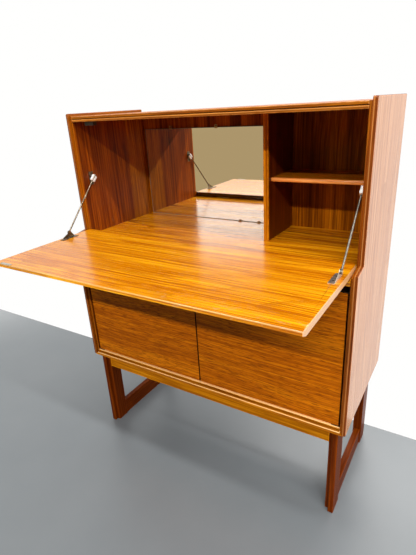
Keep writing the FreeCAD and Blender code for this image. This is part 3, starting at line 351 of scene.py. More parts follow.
def soft_box(name, place, target, watts, long, wide):
    """A rectangular soft box that faces a point."""
    data = bpy.data.lights.new(name, "AREA")
    data.shape = "RECTANGLE"
    data.size = long
    data.size_y = wide
    data.energy = watts
    data.color = LAMP_WHITE
    item = bpy.data.objects.new(name, data)
    item.location = place
    item.rotation_euler = (Vector(target) - Vector(place)).to_track_quat("-Z", "Y").to_euler()
    bpy.context.scene.collection.objects.link(item)
    return item


STRIP_LONG = 8.0
STRIP_WIDE = 0.2
soft_box("far_strip", (2.6, -5.7, 4.90), (2.6, 0, 0.6), 520, STRIP_LONG, STRIP_WIDE)
soft_box("middle_strip", (3.6, -2.65, 4.95), (3.6, 0, 0.7), 50, STRIP_LONG, STRIP_WIDE)
soft_box("near_strip", (3.6, -1.87, 4.95), (3.6, -0.1, 0.7), 320, STRIP_LONG, STRIP_WIDE)
soft_box("back_strip", (0.0, 3.6, 3.4), (0, 0.3, 0.6), 60, 3.0, 0.8)
soft_box("window", (-2.85, -4.5, 2.25), (0, 0.2, 0.75), 14, 2.0, 0.85)
soft_box("right_panel", (2.4, 0.9, 1.2), (0.46, 0.15, 0.6), 18, 1.2, 1.6)
soft_box("left_panel", (-2.4, 0.9, 0.36), (-0.46, 0.15, 0.5), 14, 1.2, 0.7).visible_glossy = False

# %% [markdown]
# ## Teak
# Teak veneer is straight-grained: long golden bands, finer brown lines in them, growth rings that
# show as thin contours, and open pores like short pencil strokes. The colours are kept apart from
# the figure, so that one recipe makes pale wood and dark wood. A tone holds four colours, from
# the growth lines to the palest bands. Then come the contrast between the bands, and how much the
# rings, the strokes, the flecks and the fine lines show.


# %% A tone of teak
class Tone:
    """The colours of one cut of teak, and its figure."""

    def __init__(self, ring, dark, mid, pale, contrast, rings, strokes, flecks, fine=0.68):
        self.ring = ring
        self.dark = dark
        self.mid = mid
        self.pale = pale
        self.contrast = contrast
        self.rings = rings
        self.strokes = strokes
        self.flecks = flecks
        self.fine = fine


print("tones ready")

# %% [markdown]
# An image of veneer would blur close up and repeat from board to board, so the figure is made of
# noise. It is stretched far along the grain, and more noise bends it a little. We turn each
# board's own grain to lie on X first, so one recipe serves boards that run along, across or
# upright. The pattern is in space, so edges and ends match their faces.

# %% The recipe for teak
GRAIN_TURN = {
    "x": (0.0, 0.0, 0.0),
    "y": (0.0, 0.0, math.radians(-90)),
    "z": (0.0, math.radians(90), 0.0),
}
GRAIN_BEND = 0.05
RINGS = 13.0
RELIEF = 0.35 * MM
WORN_AND_LIT_WIDTH = (3.0 * MM, 0.8 * MM)


class Teak(Finish):
    """Teak with its grain along an axis; the shift picks another part of the tree."""

    def __init__(self, name, grain, shift, shine=0.2):
        super().__init__(name, specular_ior_level=shine)
        self.grow(grain, shift)

    def grow(self, grain, shift):
        """Lay out the figure; a board with another skin on one side calls this again for it."""
        turned = self.stretched(self.place, (1, 1, 1), GRAIN_TURN[grain], shift)
        wander = self.noise(self.stretched(turned, (1.1, 3.2, 3.2)), 2.0, 0.5)
        self.bent = self.add("ShaderNodeVectorMath", {"operation": "MULTIPLY_ADD"}, {
            0: self.add("ShaderNodeCombineXYZ", {}, {"X": 0.0, "Y": wander, "Z": wander}),
            1: (0.0, GRAIN_BEND, GRAIN_BEND), 2: turned})
        self.bands = self.along(0.45, 22, 3.0, 0.6)
        self.lines = self.along(1.5, 190, 3.0, 0.68)
        level = self.add(
            "ShaderNodeMath", {"operation": "FRACT"}, {0: self.along(0.55, 7.5, 1.0, 0.4) * RINGS})
        self.rings = level.between(0.30, 0.0) * self.lines.between(0.38, 0.60)
        self.strokes = self.along(2.2, 400, 2.0, 0.6).between(0.50, 0.64)
        self.flecks = self.along(30.0, 420, 2.0, 0.6).between(0.50, 0.66)
        self.pores = self.along(26.0, 1300, 2.0, 0.5).between(0.60, 0.72)

    def along(self, lengthwise, crosswise, detail, roughness):
        """Noise drawn out along the grain: so many waves to the metre lengthwise and crosswise."""
        stretch = (lengthwise, crosswise, crosswise)
        return self.noise(self.stretched(self.bent, stretch), detail, roughness)

    def colour(self, tone):
        """The wood's colour in a tone."""
        spread = 0.15 / tone.contrast
        body = self.bands * (1 - tone.fine) + self.lines * tone.fine
        colour = self.add("ShaderNodeValToRGB", {"stops": (
            (0.5 - spread, tone.dark), (0.5, tone.mid), (0.5 + spread, tone.pale))}, {"Fac": body})
        colour = self.blend(self.rings * tone.rings, colour, tone.ring)
        colour = self.blend(self.strokes * tone.strokes, colour, tone.ring)
        colour = self.blend(self.flecks * tone.flecks, colour, tone.ring)
        return self.blend(self.pores * 0.3, colour, tone.ring)

    def polish(self, colour, gloss):
        """Oil the wood: pores and pale lines stay duller than the rest."""
        self.feed(base_color=colour, roughness=gloss + self.lines * 0.10 + self.pores * 0.20 - 0.05)
        self.raise_by(self.lines * 0.35 - self.pores * 0.6 - self.rings * 0.15, RELIEF, 0.5)
        return self

    def wear_and_highlight(self, colour, name, rubbed, share=0.7):
        """Rub a board's arrises pale in patches: wear, and a painted highlight along them."""
        patches = self.noise(self.stretched(self.place, (60, 60, 60)), 3.0, 0.6).between(0.35, 0.62)
        edge = self.arris(name).between(*WORN_AND_LIT_WIDTH)
        return self.blend(edge * (patches * 0.7 + 0.3) * share, colour, rubbed)


print("grain runs along", ", ".join(GRAIN_TURN))

# %% [markdown]
# There are many tones. The flap and the deck are golden. The sides are pale outside, and part of
# that paleness is a painted sheen. The bar is a red-brown, darker than the outer wood in part as
# painted shade, and darker still towards the bay as painted shade. The small shelf's pale tone is a
# painted highlight.

# %% The tones
FLAP_TONE = Tone(
    (0.32, 0.068, 0.001), (0.5, 0.128, 0.001), (0.8, 0.28, 0.002), (1.0, 0.46, 0.008),
    1.8, 0.5, 0.55, 0.10)
DECK_TONE = Tone(
    (0.2, 0.038, 0.0), (0.4, 0.098, 0.001), (0.7, 0.24, 0.002), (0.94, 0.41, 0.006),
    1.8, 1.0, 0.55, 0.10)
DOOR_TONE = Tone(
    (0.2, 0.04, 0.0), (0.36, 0.08, 0.0), (0.56, 0.14, 0.001), (0.7, 0.21, 0.002),
    1.5, 0.3, 0.35, 0.85)
APRON_TONE = Tone(
    (0.22, 0.05, 0.001), (0.34, 0.1, 0.001), (0.58, 0.19, 0.002), (0.76, 0.29, 0.006),
    1.4, 0.4, 0.45, 0.20)
# Darker than the outer wood in part as painted shade of the bar's inside.
INSIDE_TONE = Tone(
    (0.05, 0.005, 0.0), (0.11, 0.014, 0.0), (0.22, 0.038, 0.0), (0.38, 0.085, 0.001),
    1.6, 0.5, 0.35, 0.15)
GOLDEN_TONE = Tone(
    (0.1, 0.018, 0.0), (0.19, 0.042, 0.0), (0.36, 0.1, 0.0), (0.56, 0.18, 0.001),
    1.6, 0.5, 0.35, 0.15)
# Nearly black: painted shade of the bay.
BAY_TONE = Tone(
    (0.02, 0.002, 0.0), (0.06, 0.007, 0.0), (0.12, 0.017, 0.0), (0.2, 0.036, 0.0),
    1.4, 0.5, 0.35, 0.15)
BACK_TONE = Tone(
    (0.046, 0.01, 0.0), (0.114, 0.026, 0.0), (0.286, 0.071, 0.0), (0.505, 0.149, 0.002),
    1.6, 0.5, 0.40, 0.15, 0.45)
EDGE_TONE = Tone(
    (0.104, 0.018, 0.001), (0.208, 0.042, 0.001), (0.368, 0.092, 0.002), (0.512, 0.16, 0.003),
    1.3, 0.4, 0.40, 0.20)
BEAD_TONE = Tone(
    (0.056, 0.008, 0.001), (0.128, 0.021, 0.001), (0.248, 0.05, 0.002), (0.368, 0.092, 0.003),
    1.2, 0.4, 0.35, 0.35)
RAIL_TONE = Tone(
    (0.068, 0.011, 0.001), (0.145, 0.029, 0.001), (0.272, 0.068, 0.001), (0.442, 0.136, 0.003),
    1.6, 0.4, 0.45, 0.20)
MOULDING_TONE = Tone(
    (0.14, 0.03, 0.001), (0.28, 0.066, 0.001), (0.52, 0.155, 0.002), (0.74, 0.27, 0.006),
    1.6, 0.4, 0.45, 0.30)
LEG_TONE = Tone(
    (0.04, 0.005, 0.0), (0.08, 0.01, 0.0), (0.14, 0.022, 0.001), (0.22, 0.042, 0.002),
    1.2, 0.4, 0.30, 0.20)
# Very pale: a painted highlight for the small shelf's rounded front.
SHELF_TONE = Tone(
    (0.317, 0.079, 0.012), (0.561, 0.159, 0.027), (0.927, 0.329, 0.067), (1.0, 0.512, 0.134),
    1.2, 0.3, 0.30, 0.20)
# The pale outer skin, paler and bluer still as a painted sheen of the white room.
SIDE_TONE = Tone(
    (0.36, 0.125, 0.045), (0.54, 0.215, 0.09), (0.76, 0.34, 0.15), (0.92, 0.5, 0.26),
    1.3, 0.5, 0.35, 0.15)
# A pale for rubbed arrises that also serves as a painted highlight, a pale painted sheen for the
# flap's end faces, and a near black for painted shade, with grime where it fills quirks.
WORN_AND_LIT_PALE = (0.88, 0.42, 0.12)
END_SHEEN = (0.95, 0.52, 0.22)
SHADE_AND_GRIME = (0.020, 0.005, 0.001)
# Printed: the pale of worn and highlit arrises, the painted sheen of the flap's ends, and the near
# black of painted shade and grime.
print("rubbed, bare and grimy wood:", WORN_AND_LIT_PALE, END_SHEEN, SHADE_AND_GRIME)

# %% [markdown]
# A finish goes into the material slots that a solid already has. Each of these boards takes its
# figure from another part of the tree, and its arrises are painted pale in patches, as wear and as
# a painted highlight. All that differs between them is the tone, the way of the grain and the
# gloss, so one table and one loop dress them all.


# %% Dress the plain boards
def dress(finish, *names):
    """Give a finish to CAD nodes, in the material slots that they already have."""
    for name in names:
        for slot in nodes[name].material_slots:
            slot.material = finish.material


def tree_part(number):
    """Another part of the tree for each board."""
    return (0.37 * number, 0.83 * number, 0.29 * number)


PALER = 1.25
BOARDS = (
    # The boards in INSIDE_TONE are darker in part as painted shade.
    ("top_panel", DOOR_TONE, "x", 0.30), ("recess_rail", INSIDE_TONE, "x", 0.40),
    ("bottom_panel", INSIDE_TONE, "x", 0.40), ("back_panel", BACK_TONE, "z", 0.42),
    ("partition_lipping", MOULDING_TONE, "z", 0.30),
    ("cupboard_shelf", INSIDE_TONE, "x", 0.40),
    ("apron_front", APRON_TONE, "x", 0.34), ("apron_rear", LEG_TONE, "x", 0.36),
    ("leg_post_front_right", LEG_TONE, "z", 0.34), ("leg_post_front_left", LEG_TONE, "z", 0.34),
    ("leg_post_rear_right", LEG_TONE, "z", 0.34), ("leg_post_rear_left", LEG_TONE, "z", 0.34),
    ("leg_base_rail_right", LEG_TONE, "y", 0.34), ("leg_base_rail_left", LEG_TONE, "y", 0.34),
    ("leg_bearer_right", LEG_TONE, "y", 0.36), ("leg_bearer_left", LEG_TONE, "y", 0.36),
)
for number, (name, tone, grain, gloss) in enumerate(BOARDS):
    wood = Teak(f"teak_{name}", grain, tree_part(number), 0.05)
    rubbed = tuple(PALER * part for part in tone.pale)
    dress(wood.polish(wood.wear_and_highlight(wood.colour(tone), name, rubbed), gloss), name)
print("plain boards:", len(BOARDS))

# %% [markdown]
# The upright edges of the doors are painted dark as the shade in the gap, so that the doors meet in
# a thin dark line. The line could be a strip of its own, but a mask that reads the distance to the
# two edges draws it on the board itself.

# %% The doors
GAP_SHADE_WIDTH = (1.2 * MM, 0.4 * MM)

for number, hand in enumerate(("right", "left")):
    name = f"door_{hand}"
    low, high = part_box(name)
    wood = Teak(f"teak_{name}", "x", tree_part(32 + number), 0.1)
    across, _, _ = wood.axes(wood.place)
    # The dark rim along both upright edges is painted shade for the gap between the doors.
    rim = (across - low[0]).least(high[0] - across).between(*GAP_SHADE_WIDTH)
    dress(wood.polish(wood.blend(rim * 0.9, wood.colour(DOOR_TONE), SHADE_AND_GRIME), 0.34), name)
print("doors dressed")

# %% [markdown]
# The partition has a golden veneer towards the mirror, and towards the bay a very dark tone that is
# painted shade of the bay. It is one solid, so one finish holds both colours. They change over in
# the middle of the board, where nobody sees it.

# %% The partition
low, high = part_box("partition")
partition_middle = (low[0] + high[0]) / 2
wood = Teak("teak_partition", "z", tree_part(35))
across, _, _ = wood.axes(wood.place)
# The bay side takes the nearly black tone: painted shade.
bay_side = across.between(partition_middle - MM, partition_middle + MM)
colour = wood.blend(bay_side, wood.colour(GOLDEN_TONE), wood.colour(BAY_TONE))
dress(wood.polish(colour, 0.36), "partition")
print("partition dressed on both sides of x", round(partition_middle, 4))

# %% [markdown]
# ## The open shelf
# Veneer runs over the flap and its edge strips in one sheet, so all four solids share one finish
# and the grain passes the joints. The sheet ends at the arrises. The end faces are painted pale as
# a sheen, the hinge edge is painted nearly black as shade with some dirt, and the front arris
# carries a light line, a painted highlight on rubbed wood. Hands have left a few pale spots near
# it. Each of these is a band at a known distance from the sides of the flap's box.

# %% The flap
FLAP_SOLIDS = ("flap_panel", "flap_lipping_front", "flap_lipping_right", "flap_lipping_left")
SPOTS_REACH = (60 * MM, 10 * MM)
SPOT_COLOUR = (0.62, 0.36, 0.16)
LINE_REACH = (3.4 * MM, 1.8 * MM)
LINE_DEPTH = (3.0 * MM, 1.2 * MM)
LINE_COLOUR = (1.0, 0.66, 0.26)
END_SKIN = (1.0 * MM, 0.3 * MM)
HINGE_SKIN = (0.6 * MM, 0.2 * MM)

flap_low = [min(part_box(name)[0][axis] for name in FLAP_SOLIDS) for axis in range(3)]
flap_high = [max(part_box(name)[1][axis] for name in FLAP_SOLIDS) for axis in range(3)]

flap_wood = Teak("teak_flap", "x", tree_part(21), 0.5)
across, along, up = flap_wood.axes(flap_wood.place)
mottle = flap_wood.noise(flap_wood.stretched(flap_wood.place, (45, 70, 45)), 3.0, 0.6)
spots = mottle.between(0.60, 0.72) * along.between(
    flap_low[1] + SPOTS_REACH[0], flap_low[1] + SPOTS_REACH[1])
colour = flap_wood.blend(spots * 0.5, flap_wood.colour(FLAP_TONE), SPOT_COLOUR)
# A painted highlight line along the rubbed front arris.
front_line = along.between(
    flap_low[1] + LINE_REACH[0], flap_low[1] + LINE_REACH[1]) * up.between(
    flap_high[2] - LINE_DEPTH[0], flap_high[2] - LINE_DEPTH[1])
colour = flap_wood.blend(front_line * 0.40, colour, LINE_COLOUR)
# The end faces painted pale: a painted sheen.
ends = across.size().between(flap_high[0] - END_SKIN[0], flap_high[0] - END_SKIN[1])
colour = flap_wood.blend(ends * 0.85, colour, END_SHEEN)
# The hinge edge painted nearly black: painted shade with some dirt.
hinge_edge = along.between(flap_high[1] - HINGE_SKIN[0], flap_high[1] - HINGE_SKIN[1])
colour = flap_wood.blend(hinge_edge * 0.95, colour, SHADE_AND_GRIME)
dress(flap_wood.polish(colour, 0.20), *FLAP_SOLIDS)
print("flap box:", [round(value, 4) for value in flap_low + flap_high])

# %% [markdown]
# The deck lies behind the flap at the same height. Its sheet of veneer goes on over its front
# edging, so both take the same part of the tree, and the edging is only a little duller.

# %% The deck
for name, gloss in (("bar_deck", 0.18), ("deck_lipping", 0.24)):
    wood = Teak(f"teak_{name}", "x", tree_part(24), 0.5)
    dress(wood.polish(wood.colour(DECK_TONE), gloss), name)
print("deck dressed")

# %% [markdown]
# Shut, the flap stands upright under the top rail, and fingertips have to get behind its outer
# edge. The edge is cut back there at a slant, which the solids leave square. We take a copy of
# each flap board, weld its loose triangles, slice the slant off with one plane as a saw would,
# and close the cut. Boards drawn anew might not meet as the solids do, while a cut leaves every
# other face where it was.

# %% Slice the finger grip
GRIP_FACE = 8.5 * MM
GRIP_SLANT = math.radians(25)
WELD = 0.01 * MM
SAW_CLEARANCE = 0.000001

grip_point = Vector((0.0, flap_low[1], flap_high[2] - GRIP_FACE))
grip_out = Vector((0.0, -math.sin(GRIP_SLANT), -math.cos(GRIP_SLANT)))


def welded(name):
    """A copy of a solid's mesh with its loose triangles joined, to work on."""
    copy = bmesh.new()
    copy.from_mesh(nodes[name].data)
    bmesh.ops.remove_doubles(copy, verts=copy.verts, dist=WELD)
    return copy


def hand_over(shape, name, body, node, material):
    """Make an object of a mesh, and let it stand for a solid."""
    if isinstance(shape, bmesh.types.BMesh):
        mesh = bpy.data.meshes.new(name)
        shape.to_mesh(mesh)
        shape.free()
    else:
        mesh = shape
    mesh.materials.clear()
    mesh.materials.append(material)
    piece = bpy.data.objects.new(name, mesh)
    bpy.context.scene.collection.objects.link(piece)
    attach(piece, body)
    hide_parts(node)
    return piece


for name in FLAP_SOLIDS:
    board = welded(name)
    bmesh.ops.bisect_plane(
        board, geom=[*board.verts, *board.edges, *board.faces], dist=SAW_CLEARANCE,
        plane_co=grip_point, plane_no=grip_out, clear_outer=True)
    open_edges = [edge for edge in board.edges if edge.is_boundary]
    bmesh.ops.triangle_fill(board, edges=open_edges, use_beauty=True)
    bmesh.ops.recalc_face_normals(board, faces=board.faces)
    left_open = sum(edge.is_boundary for edge in board.edges)
    print(name, "faces", len(board.faces), "open edges", len(open_edges), "->", left_open)
    hand_over(board, f"{name}_with_grip", "flap", name, flap_wood.material)

# %% [markdown]
# The small shelf in the right-hand bay reaches further forward than its solid. A stretched copy of
# the solid would run into the boards beside it, because the solid is as wide as the grooves that
# hold it. So we draw the shelf's outline from above, narrower in front of the grooves, raise it to
# the solid's thickness and round the two front edges. The rounded front is painted pale as a
# highlight, and the top behind it is painted darker as shade.

# %% Draw the small shelf
SHELF_REACH = 38 * MM
SHELF_GROOVE = 4 * MM
SHELF_ROUND = 5 * MM
SHELF_HIGHLIGHT_REACH = (3.5 * MM, 6.5 * MM)

low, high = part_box("bar_shelf")
shelf_front = low[1] - SHELF_REACH
left_face, right_face = low[0] + SHELF_GROOVE, high[0] - SHELF_GROOVE
outline = (
    (left_face, shelf_front), (right_face, shelf_front), (right_face, low[1]), (high[0], low[1]),
    (high[0], high[1]), (low[0], high[1]), (low[0], low[1]), (left_face, low[1]))
shelf = bmesh.new()
underside = shelf.faces.new([shelf.verts.new((x, y, low[2])) for x, y in outline])
raised = bmesh.ops.extrude_face_region(shelf, geom=[underside])["geom"]
bmesh.ops.translate(
    shelf, vec=(0, 0, high[2] - low[2]),
    verts=[part for part in raised if isinstance(part, bmesh.types.BMVert)])
front_edges = [
    edge for edge in shelf.edges
    if all(vert.co.y < shelf_front + MM for vert in edge.verts)
    and abs(edge.verts[0].co.z - edge.verts[1].co.z) < MM]
bmesh.ops.bevel(
    shelf, geom=front_edges, offset=SHELF_ROUND, segments=6, profile=0.5, affect="EDGES")
bmesh.ops.recalc_face_normals(shelf, faces=shelf.faces)
left_open = sum(edge.is_boundary for edge in shelf.edges)
print("small shelf: faces", len(shelf.faces), "open edges", left_open)

wood = Teak("teak_bar_shelf", "x", tree_part(30), 0.4)
_, along, _ = wood.axes(wood.place)
# Painted highlight on the rounded front, painted shade on the top behind it.
behind_front = along.between(shelf_front + SHELF_HIGHLIGHT_REACH[0], shelf_front + SHELF_HIGHLIGHT_REACH[1])
wood.polish(wood.blend(behind_front, wood.colour(SHELF_TONE), wood.colour(GOLDEN_TONE)), 0.26)
hand_over(shelf, "bar_shelf_full_depth", "cabinet", "bar_shelf", wood.material)

# %% [markdown]
# ## Sides
# The sides have two skins: a pale veneer outside, paler and bluer still as a painted sheen, and the
# brown of the bar inside, darker in part as painted shade. One finish carries both, and the
# distance from the cabinet's middle chooses between them. The inner skin is laid from two leaves of
# veneer, a red-brown one in front and a golden one behind.

# %% The sides
SKIN = 0.4565
LEAF_JOINT = 0.240
SHARP = 0.4 * MM

for number, hand in enumerate(("right", "left")):
    name = f"side_panel_{hand}"
    wood = Teak(f"teak_{name}", "z", tree_part(40 + number))
    across, along, _ = wood.axes(wood.place)
    # The outer skin's pale tone holds a painted sheen; the inner skin is darker in part as painted
    # shade.
    outside = across.size().between(SKIN, SKIN + SHARP)
    rear_leaf = along.between(LEAF_JOINT - SHARP, LEAF_JOINT + SHARP)
    inside = wood.blend(rear_leaf, wood.colour(INSIDE_TONE), wood.colour(GOLDEN_TONE))
    colour = wood.blend(outside, inside, wood.colour(SIDE_TONE))
    dress(wood.polish(colour, 0.38 - outside * 0.18), name)
print("skin change at", SKIN)

# %% [markdown]
# ## Stepped edging
# Solid strips frame the sides, the top and the bottom. Each is stepped. A dark line in the quirks
# is painted shade with some grime, pale lines on the arrises and beads are painted highlights on
# rubbed wood, and a dark band on the sides' rounded outer arris is painted shade. All are bands of
# colour at a known distance from the middle of the cabinet or from the floor. On the sides the
# outer veneer runs over the strips too, so its grain is laid out again there.

# %% The edging of the sides
INNER_FACE = 0.4395
BEAD_INSIDE = 0.447
BEAD_HIGHLIGHT = 0.4502
OUTER_ROUND_SHADE = 0.4550
CORNER_START = (2.6 * MM, 1.0 * MM)
CORNER_END = (0.1 * MM, 0.4 * MM)


def band(value, middle, half):
    """1 along a line where a value passes the middle, fading to 0 at half a band on each side."""
    return (value - middle).size().between(half, half * 0.3)


for number, hand in enumerate(("right", "left")):
    for place, grain in (("front", "z"), ("top", "y")):
        name = f"side_{place}_lipping_{hand}"
        wood = Teak(f"teak_{name}", grain, tree_part(50 + number), 0.2)
        across = wood.axes(wood.place)[0].size()
        bead = across.between(BEAD_INSIDE, BEAD_INSIDE + SHARP)
        outside = across.between(SKIN + 0.2 * MM, SKIN + 0.6 * MM)
        inner_face = across.between(INNER_FACE + 0.5 * MM, INNER_FACE + 0.1 * MM)
        colour = wood.blend(bead, wood.colour(EDGE_TONE), wood.colour(BEAD_TONE))
        # The inner face takes the bar's darker tone, in part painted shade.
        colour = wood.blend(inner_face * 0.8, colour, wood.colour(INSIDE_TONE))
        wood.grow("z", tree_part(40 + number))
        # The outer skin's pale tone holds a painted sheen.
        colour = wood.blend(outside, colour, wood.colour(SIDE_TONE))
        # A painted highlight line along the bead, on rubbed wood.
        colour = wood.blend(band(across, BEAD_HIGHLIGHT, 1.6 * MM) * 0.35, colour, WORN_AND_LIT_PALE)
        # A dark band on the rounded outer arris: painted shade.
        colour = wood.blend(band(across, OUTER_ROUND_SHADE, 1.8 * MM) * 0.50, colour, BEAD_TONE.ring)
        if place == "front":
            # A dark line in the quirk beside the bead: painted shade with some grime.
            corner = across.between(
                BEAD_INSIDE - CORNER_START[0], BEAD_INSIDE - CORNER_START[1]) * across.between(
                BEAD_INSIDE - CORNER_END[0], BEAD_INSIDE - CORNER_END[1])
            colour = wood.blend(corner * 0.8, colour, SHADE_AND_GRIME)
        dress(wood.polish(colour, 0.34 - outside * 0.14), name)
print("side edging dressed, out to x", SKIN)

# %% [markdown]
# The top rail and the bottom moulding are stepped in height, so their lines lie at heights above
# the floor. The rail has one quirk, painted dark as shade with some grime, and a painted highlight
# on one rubbed arris. The moulding has a step with a dark band of painted shade and grime just
# above it, and a painted highlight on the rubbed arris above and below it.

# %% The top rail and the bottom moulding
RAIL_ARRIS = 1.1098
RAIL_QUIRK = (1.1115, 1.1130)
MOULDING_STEP = 0.3145
MOULDING_ARRISES = (0.3130, 0.3214)
ARRIS_WIDTH = 1.4 * MM
ARRIS_COLOUR = (1.0, 0.60, 0.24)

wood = Teak("teak_top_rail", "x", tree_part(60), 0.15)
_, _, up = wood.axes(wood.place)
quirk = up.between(RAIL_QUIRK[0] - 0.6 * MM, RAIL_QUIRK[0]) * up.between(
    RAIL_QUIRK[1] + 0.6 * MM, RAIL_QUIRK[1])
# A painted highlight line on the rubbed arris of the lower bead.
colour = wood.blend(band(up, RAIL_ARRIS, ARRIS_WIDTH) * 0.35, wood.colour(RAIL_TONE), WORN_AND_LIT_PALE)
# The quirk painted dark: painted shade with some grime.
colour = wood.blend(quirk * 0.5, colour, SHADE_AND_GRIME)
dress(wood.polish(wood.wear_and_highlight(colour, "top_rail", WORN_AND_LIT_PALE, 0.4), 0.28), "top_rail")

wood = Teak("teak_bottom_moulding", "x", tree_part(61), 0.15)
_, _, up = wood.axes(wood.place)
step_shade_and_grime = up.between(MOULDING_STEP - 0.2 * MM, MOULDING_STEP + 0.2 * MM) * up.between(
    MOULDING_STEP + 2.8 * MM, MOULDING_STEP + 1.0 * MM)
colour = wood.colour(MOULDING_TONE)
# Painted highlights on the rubbed arrises above and below the step.
for height in MOULDING_ARRISES:
    colour = wood.blend(band(up, height, ARRIS_WIDTH), colour, ARRIS_COLOUR)
# A dark band just above the step: painted shade with some grime.
colour = wood.blend(step_shade_and_grime * 0.8, colour, SHADE_AND_GRIME)
dress(wood.polish(colour, 0.28), "bottom_moulding")
print("rail quirk", RAIL_QUIRK, "moulding step", MOULDING_STEP)

# %% [markdown]
# ## Metal and nylon
# A metal has no colour of its own but tints what it mirrors, so age is a darker tint in clouds
# and a rougher polish, with fine scratches. Moulded plastic has a colour, and a faint mottle.


# %% Recipes for metal and plastic
def metal(name, aged, fresh, roughness, brushed=0.0):
    """A metal whose tint drifts in clouds from aged to fresh."""
    finish = Finish(name, metallic=1.0)
    cloud = finish.noise(finish.stretched(finish.place, (90, 90, 90)), 4.0, 0.6)
    scratch = finish.noise(finish.stretched(finish.place, (1600, 90, 90)), 2.0, 0.6)
    finish.feed(
        base_color=finish.blend(cloud.between(0.35, 0.65), aged, fresh),
        roughness=roughness + cloud * 0.10 + scratch * brushed)
    return finish


def plastic(name, dark, light, roughness, grain):
    """A moulded plastic with a faint mottle."""
    finish = Finish(name)
    mottle = finish.noise(finish.stretched(finish.place, (grain, grain, grain)), 2.0, 0.5)
    finish.feed(base_color=finish.blend(mottle, dark, light), roughness=roughness + mottle * 0.1)
    return finish


print("metal and plastic ready")

# %% [markdown]
# The stays, hinges and screws are plated steel and brass that has aged, some pieces more than
# others. The blocks in which the rods slide are white nylon, and the catches are dark plastic.
# Parts this small need no more than two tints and a roughness, so each takes one line.

# %% Dress the hardware
dress(metal("bright_steel", (0.15, 0.14, 0.12), (0.20, 0.19, 0.165), 0.50), "stay_rod_right")
dress(metal("tarnished_steel", (0.10, 0.075, 0.045), (0.24, 0.20, 0.15), 0.28), "stay_rod_left")
dress(metal("plated_steel", (0.42, 0.39, 0.33), (0.66, 0.62, 0.54), 0.38, 0.1),
      "stay_bracket_right", "stay_plate_right", "flap_strike")
dress(metal("clip_steel", (0.28, 0.160, 0.065), (0.48, 0.300, 0.130), 0.34), "mirror_clips")
dress(metal("old_steel", (0.15, 0.120, 0.085), (0.36, 0.300, 0.220), 0.34, 0.15),
      "stay_bracket_left")
dress(metal("zinc_steel", (0.10, 0.085, 0.060), (0.27, 0.235, 0.180), 0.34, 0.15),
      "stay_plate_left", "door_strike_right", "door_strike_left")
dress(metal("bronzed_steel", (0.03, 0.022, 0.015), (0.08, 0.06, 0.04), 0.45), "door_pivots")
dress(metal("hinge_brass", (0.28, 0.19, 0.07), (0.55, 0.41, 0.18), 0.32, 0.1),
      "flap_hinge_deck_leaves", "flap_hinge_flap_leaves", "flap_hinge_pins", "cupboard_shelf_pegs")
dress(plastic("white_nylon", (0.82, 0.81, 0.77), (0.92, 0.91, 0.88), 0.38, 300),
      "stay_block_right", "stay_block_left", "door_bushes_right", "door_bushes_left")
dress(plastic("catch_plastic", (0.022, 0.018, 0.014), (0.040, 0.033, 0.026), 0.40, 200),
      "door_catches", "flap_catch")
print("hardware dressed")

# %% [markdown]
# ## Screws
# Thirty countersunk wood screws hold the hinges, brackets, plates and clips. In the solids each
# is a cone and a shank. We read their places from the solids, so that none is written down twice:
# a screw lies along its longest axis, and its head is at the wider end.


# %% Find the screws
END_LAYER = 0.1 * MM


def islands(shape):
    """The separate pieces of a mesh, each as a list of its corners' places."""
    waiting = set(shape.verts)
    while waiting:
        edge_of_search = [waiting.pop()]
        found = []
        while edge_of_search:
            corner = edge_of_search.pop()
            found.append(corner.co.copy())
            for edge in corner.link_edges:
                other = edge.other_vert(corner)
                if other in waiting:
                    waiting.remove(other)
                    edge_of_search.append(other)
        yield found


def screw_places(name):
    """For every screw of a node: the middle of its head, its way in, and its length."""
    shape = welded(name)
    places = []
    for corners in islands(shape):
        low = Vector([min(corner[axis] for corner in corners) for axis in range(3)])
        high = Vector([max(corner[axis] for corner in corners) for axis in range(3)])
        axis = max(range(3), key=lambda number: high[number] - low[number])
        beside = (axis + 1) % 3
        wide = {}
        for end in (low, high):
            near = [corner[beside] for corner in corners
                    if abs(corner[axis] - end[axis]) < END_LAYER]
            wide[end[axis]] = max(near) - min(near)
        head = max(wide, key=wide.get)
        middle = (low + high) / 2
        inward = Vector((0, 0, 0))
        inward[axis] = 1.0 if head == low[axis] else -1.0
        middle[axis] = head
        places.append((middle, inward, high[axis] - low[axis]))
    shape.free()
    return places


case_places = screw_places("case_screws")
flap_places = screw_places("flap_screws")
print("screws in the case", len(case_places), "and in the flap", len(flap_places))

# %% [markdown]
# A countersunk head is a cone, and its driver slot is sawn out of it with a Boolean. One Geometry
# Nodes tree makes the screw and sets a copy on every point, so that one number changes all
# thirty. A point knows which way its screw stands out, how long it is, and how far it was turned
# when it bit.

# %% The tree that makes screws
SCREW_SIZES = {
    "Head Radius": 2.6 * MM, "Head Depth": 0.85 * MM, "Shank Radius": 1.3 * MM,
    "Slot Width": 0.75 * MM, "Slot Depth": 0.5 * MM,
}
HEAD_SIDES = 20
SHANK_SIDES = 12
SHANK_SINK = 0.98
SAW_LONG = 3.0
SAW_TALL = 2.0

screw_tree = bpy.data.node_groups.new("slotted_screws", "GeometryNodeTree")
screw_tree.interface.new_socket("Geometry", in_out="INPUT", socket_type="NodeSocketGeometry")
for title in SCREW_SIZES:
    screw_tree.interface.new_socket(title, in_out="INPUT", socket_type="NodeSocketFloat")
screw_tree.interface.new_socket("Material", in_out="INPUT", socket_type="NodeSocketMaterial")
screw_tree.interface.new_socket("Geometry", in_out="OUTPUT", socket_type="NodeSocketGeometry")


def step(kind, settings, sockets, output=0):
    return wire(screw_tree, kind, settings, sockets, output)


def arithmetic(operation, *terms):
    return step("ShaderNodeMath", {"operation": operation}, dict(enumerate(terms)))


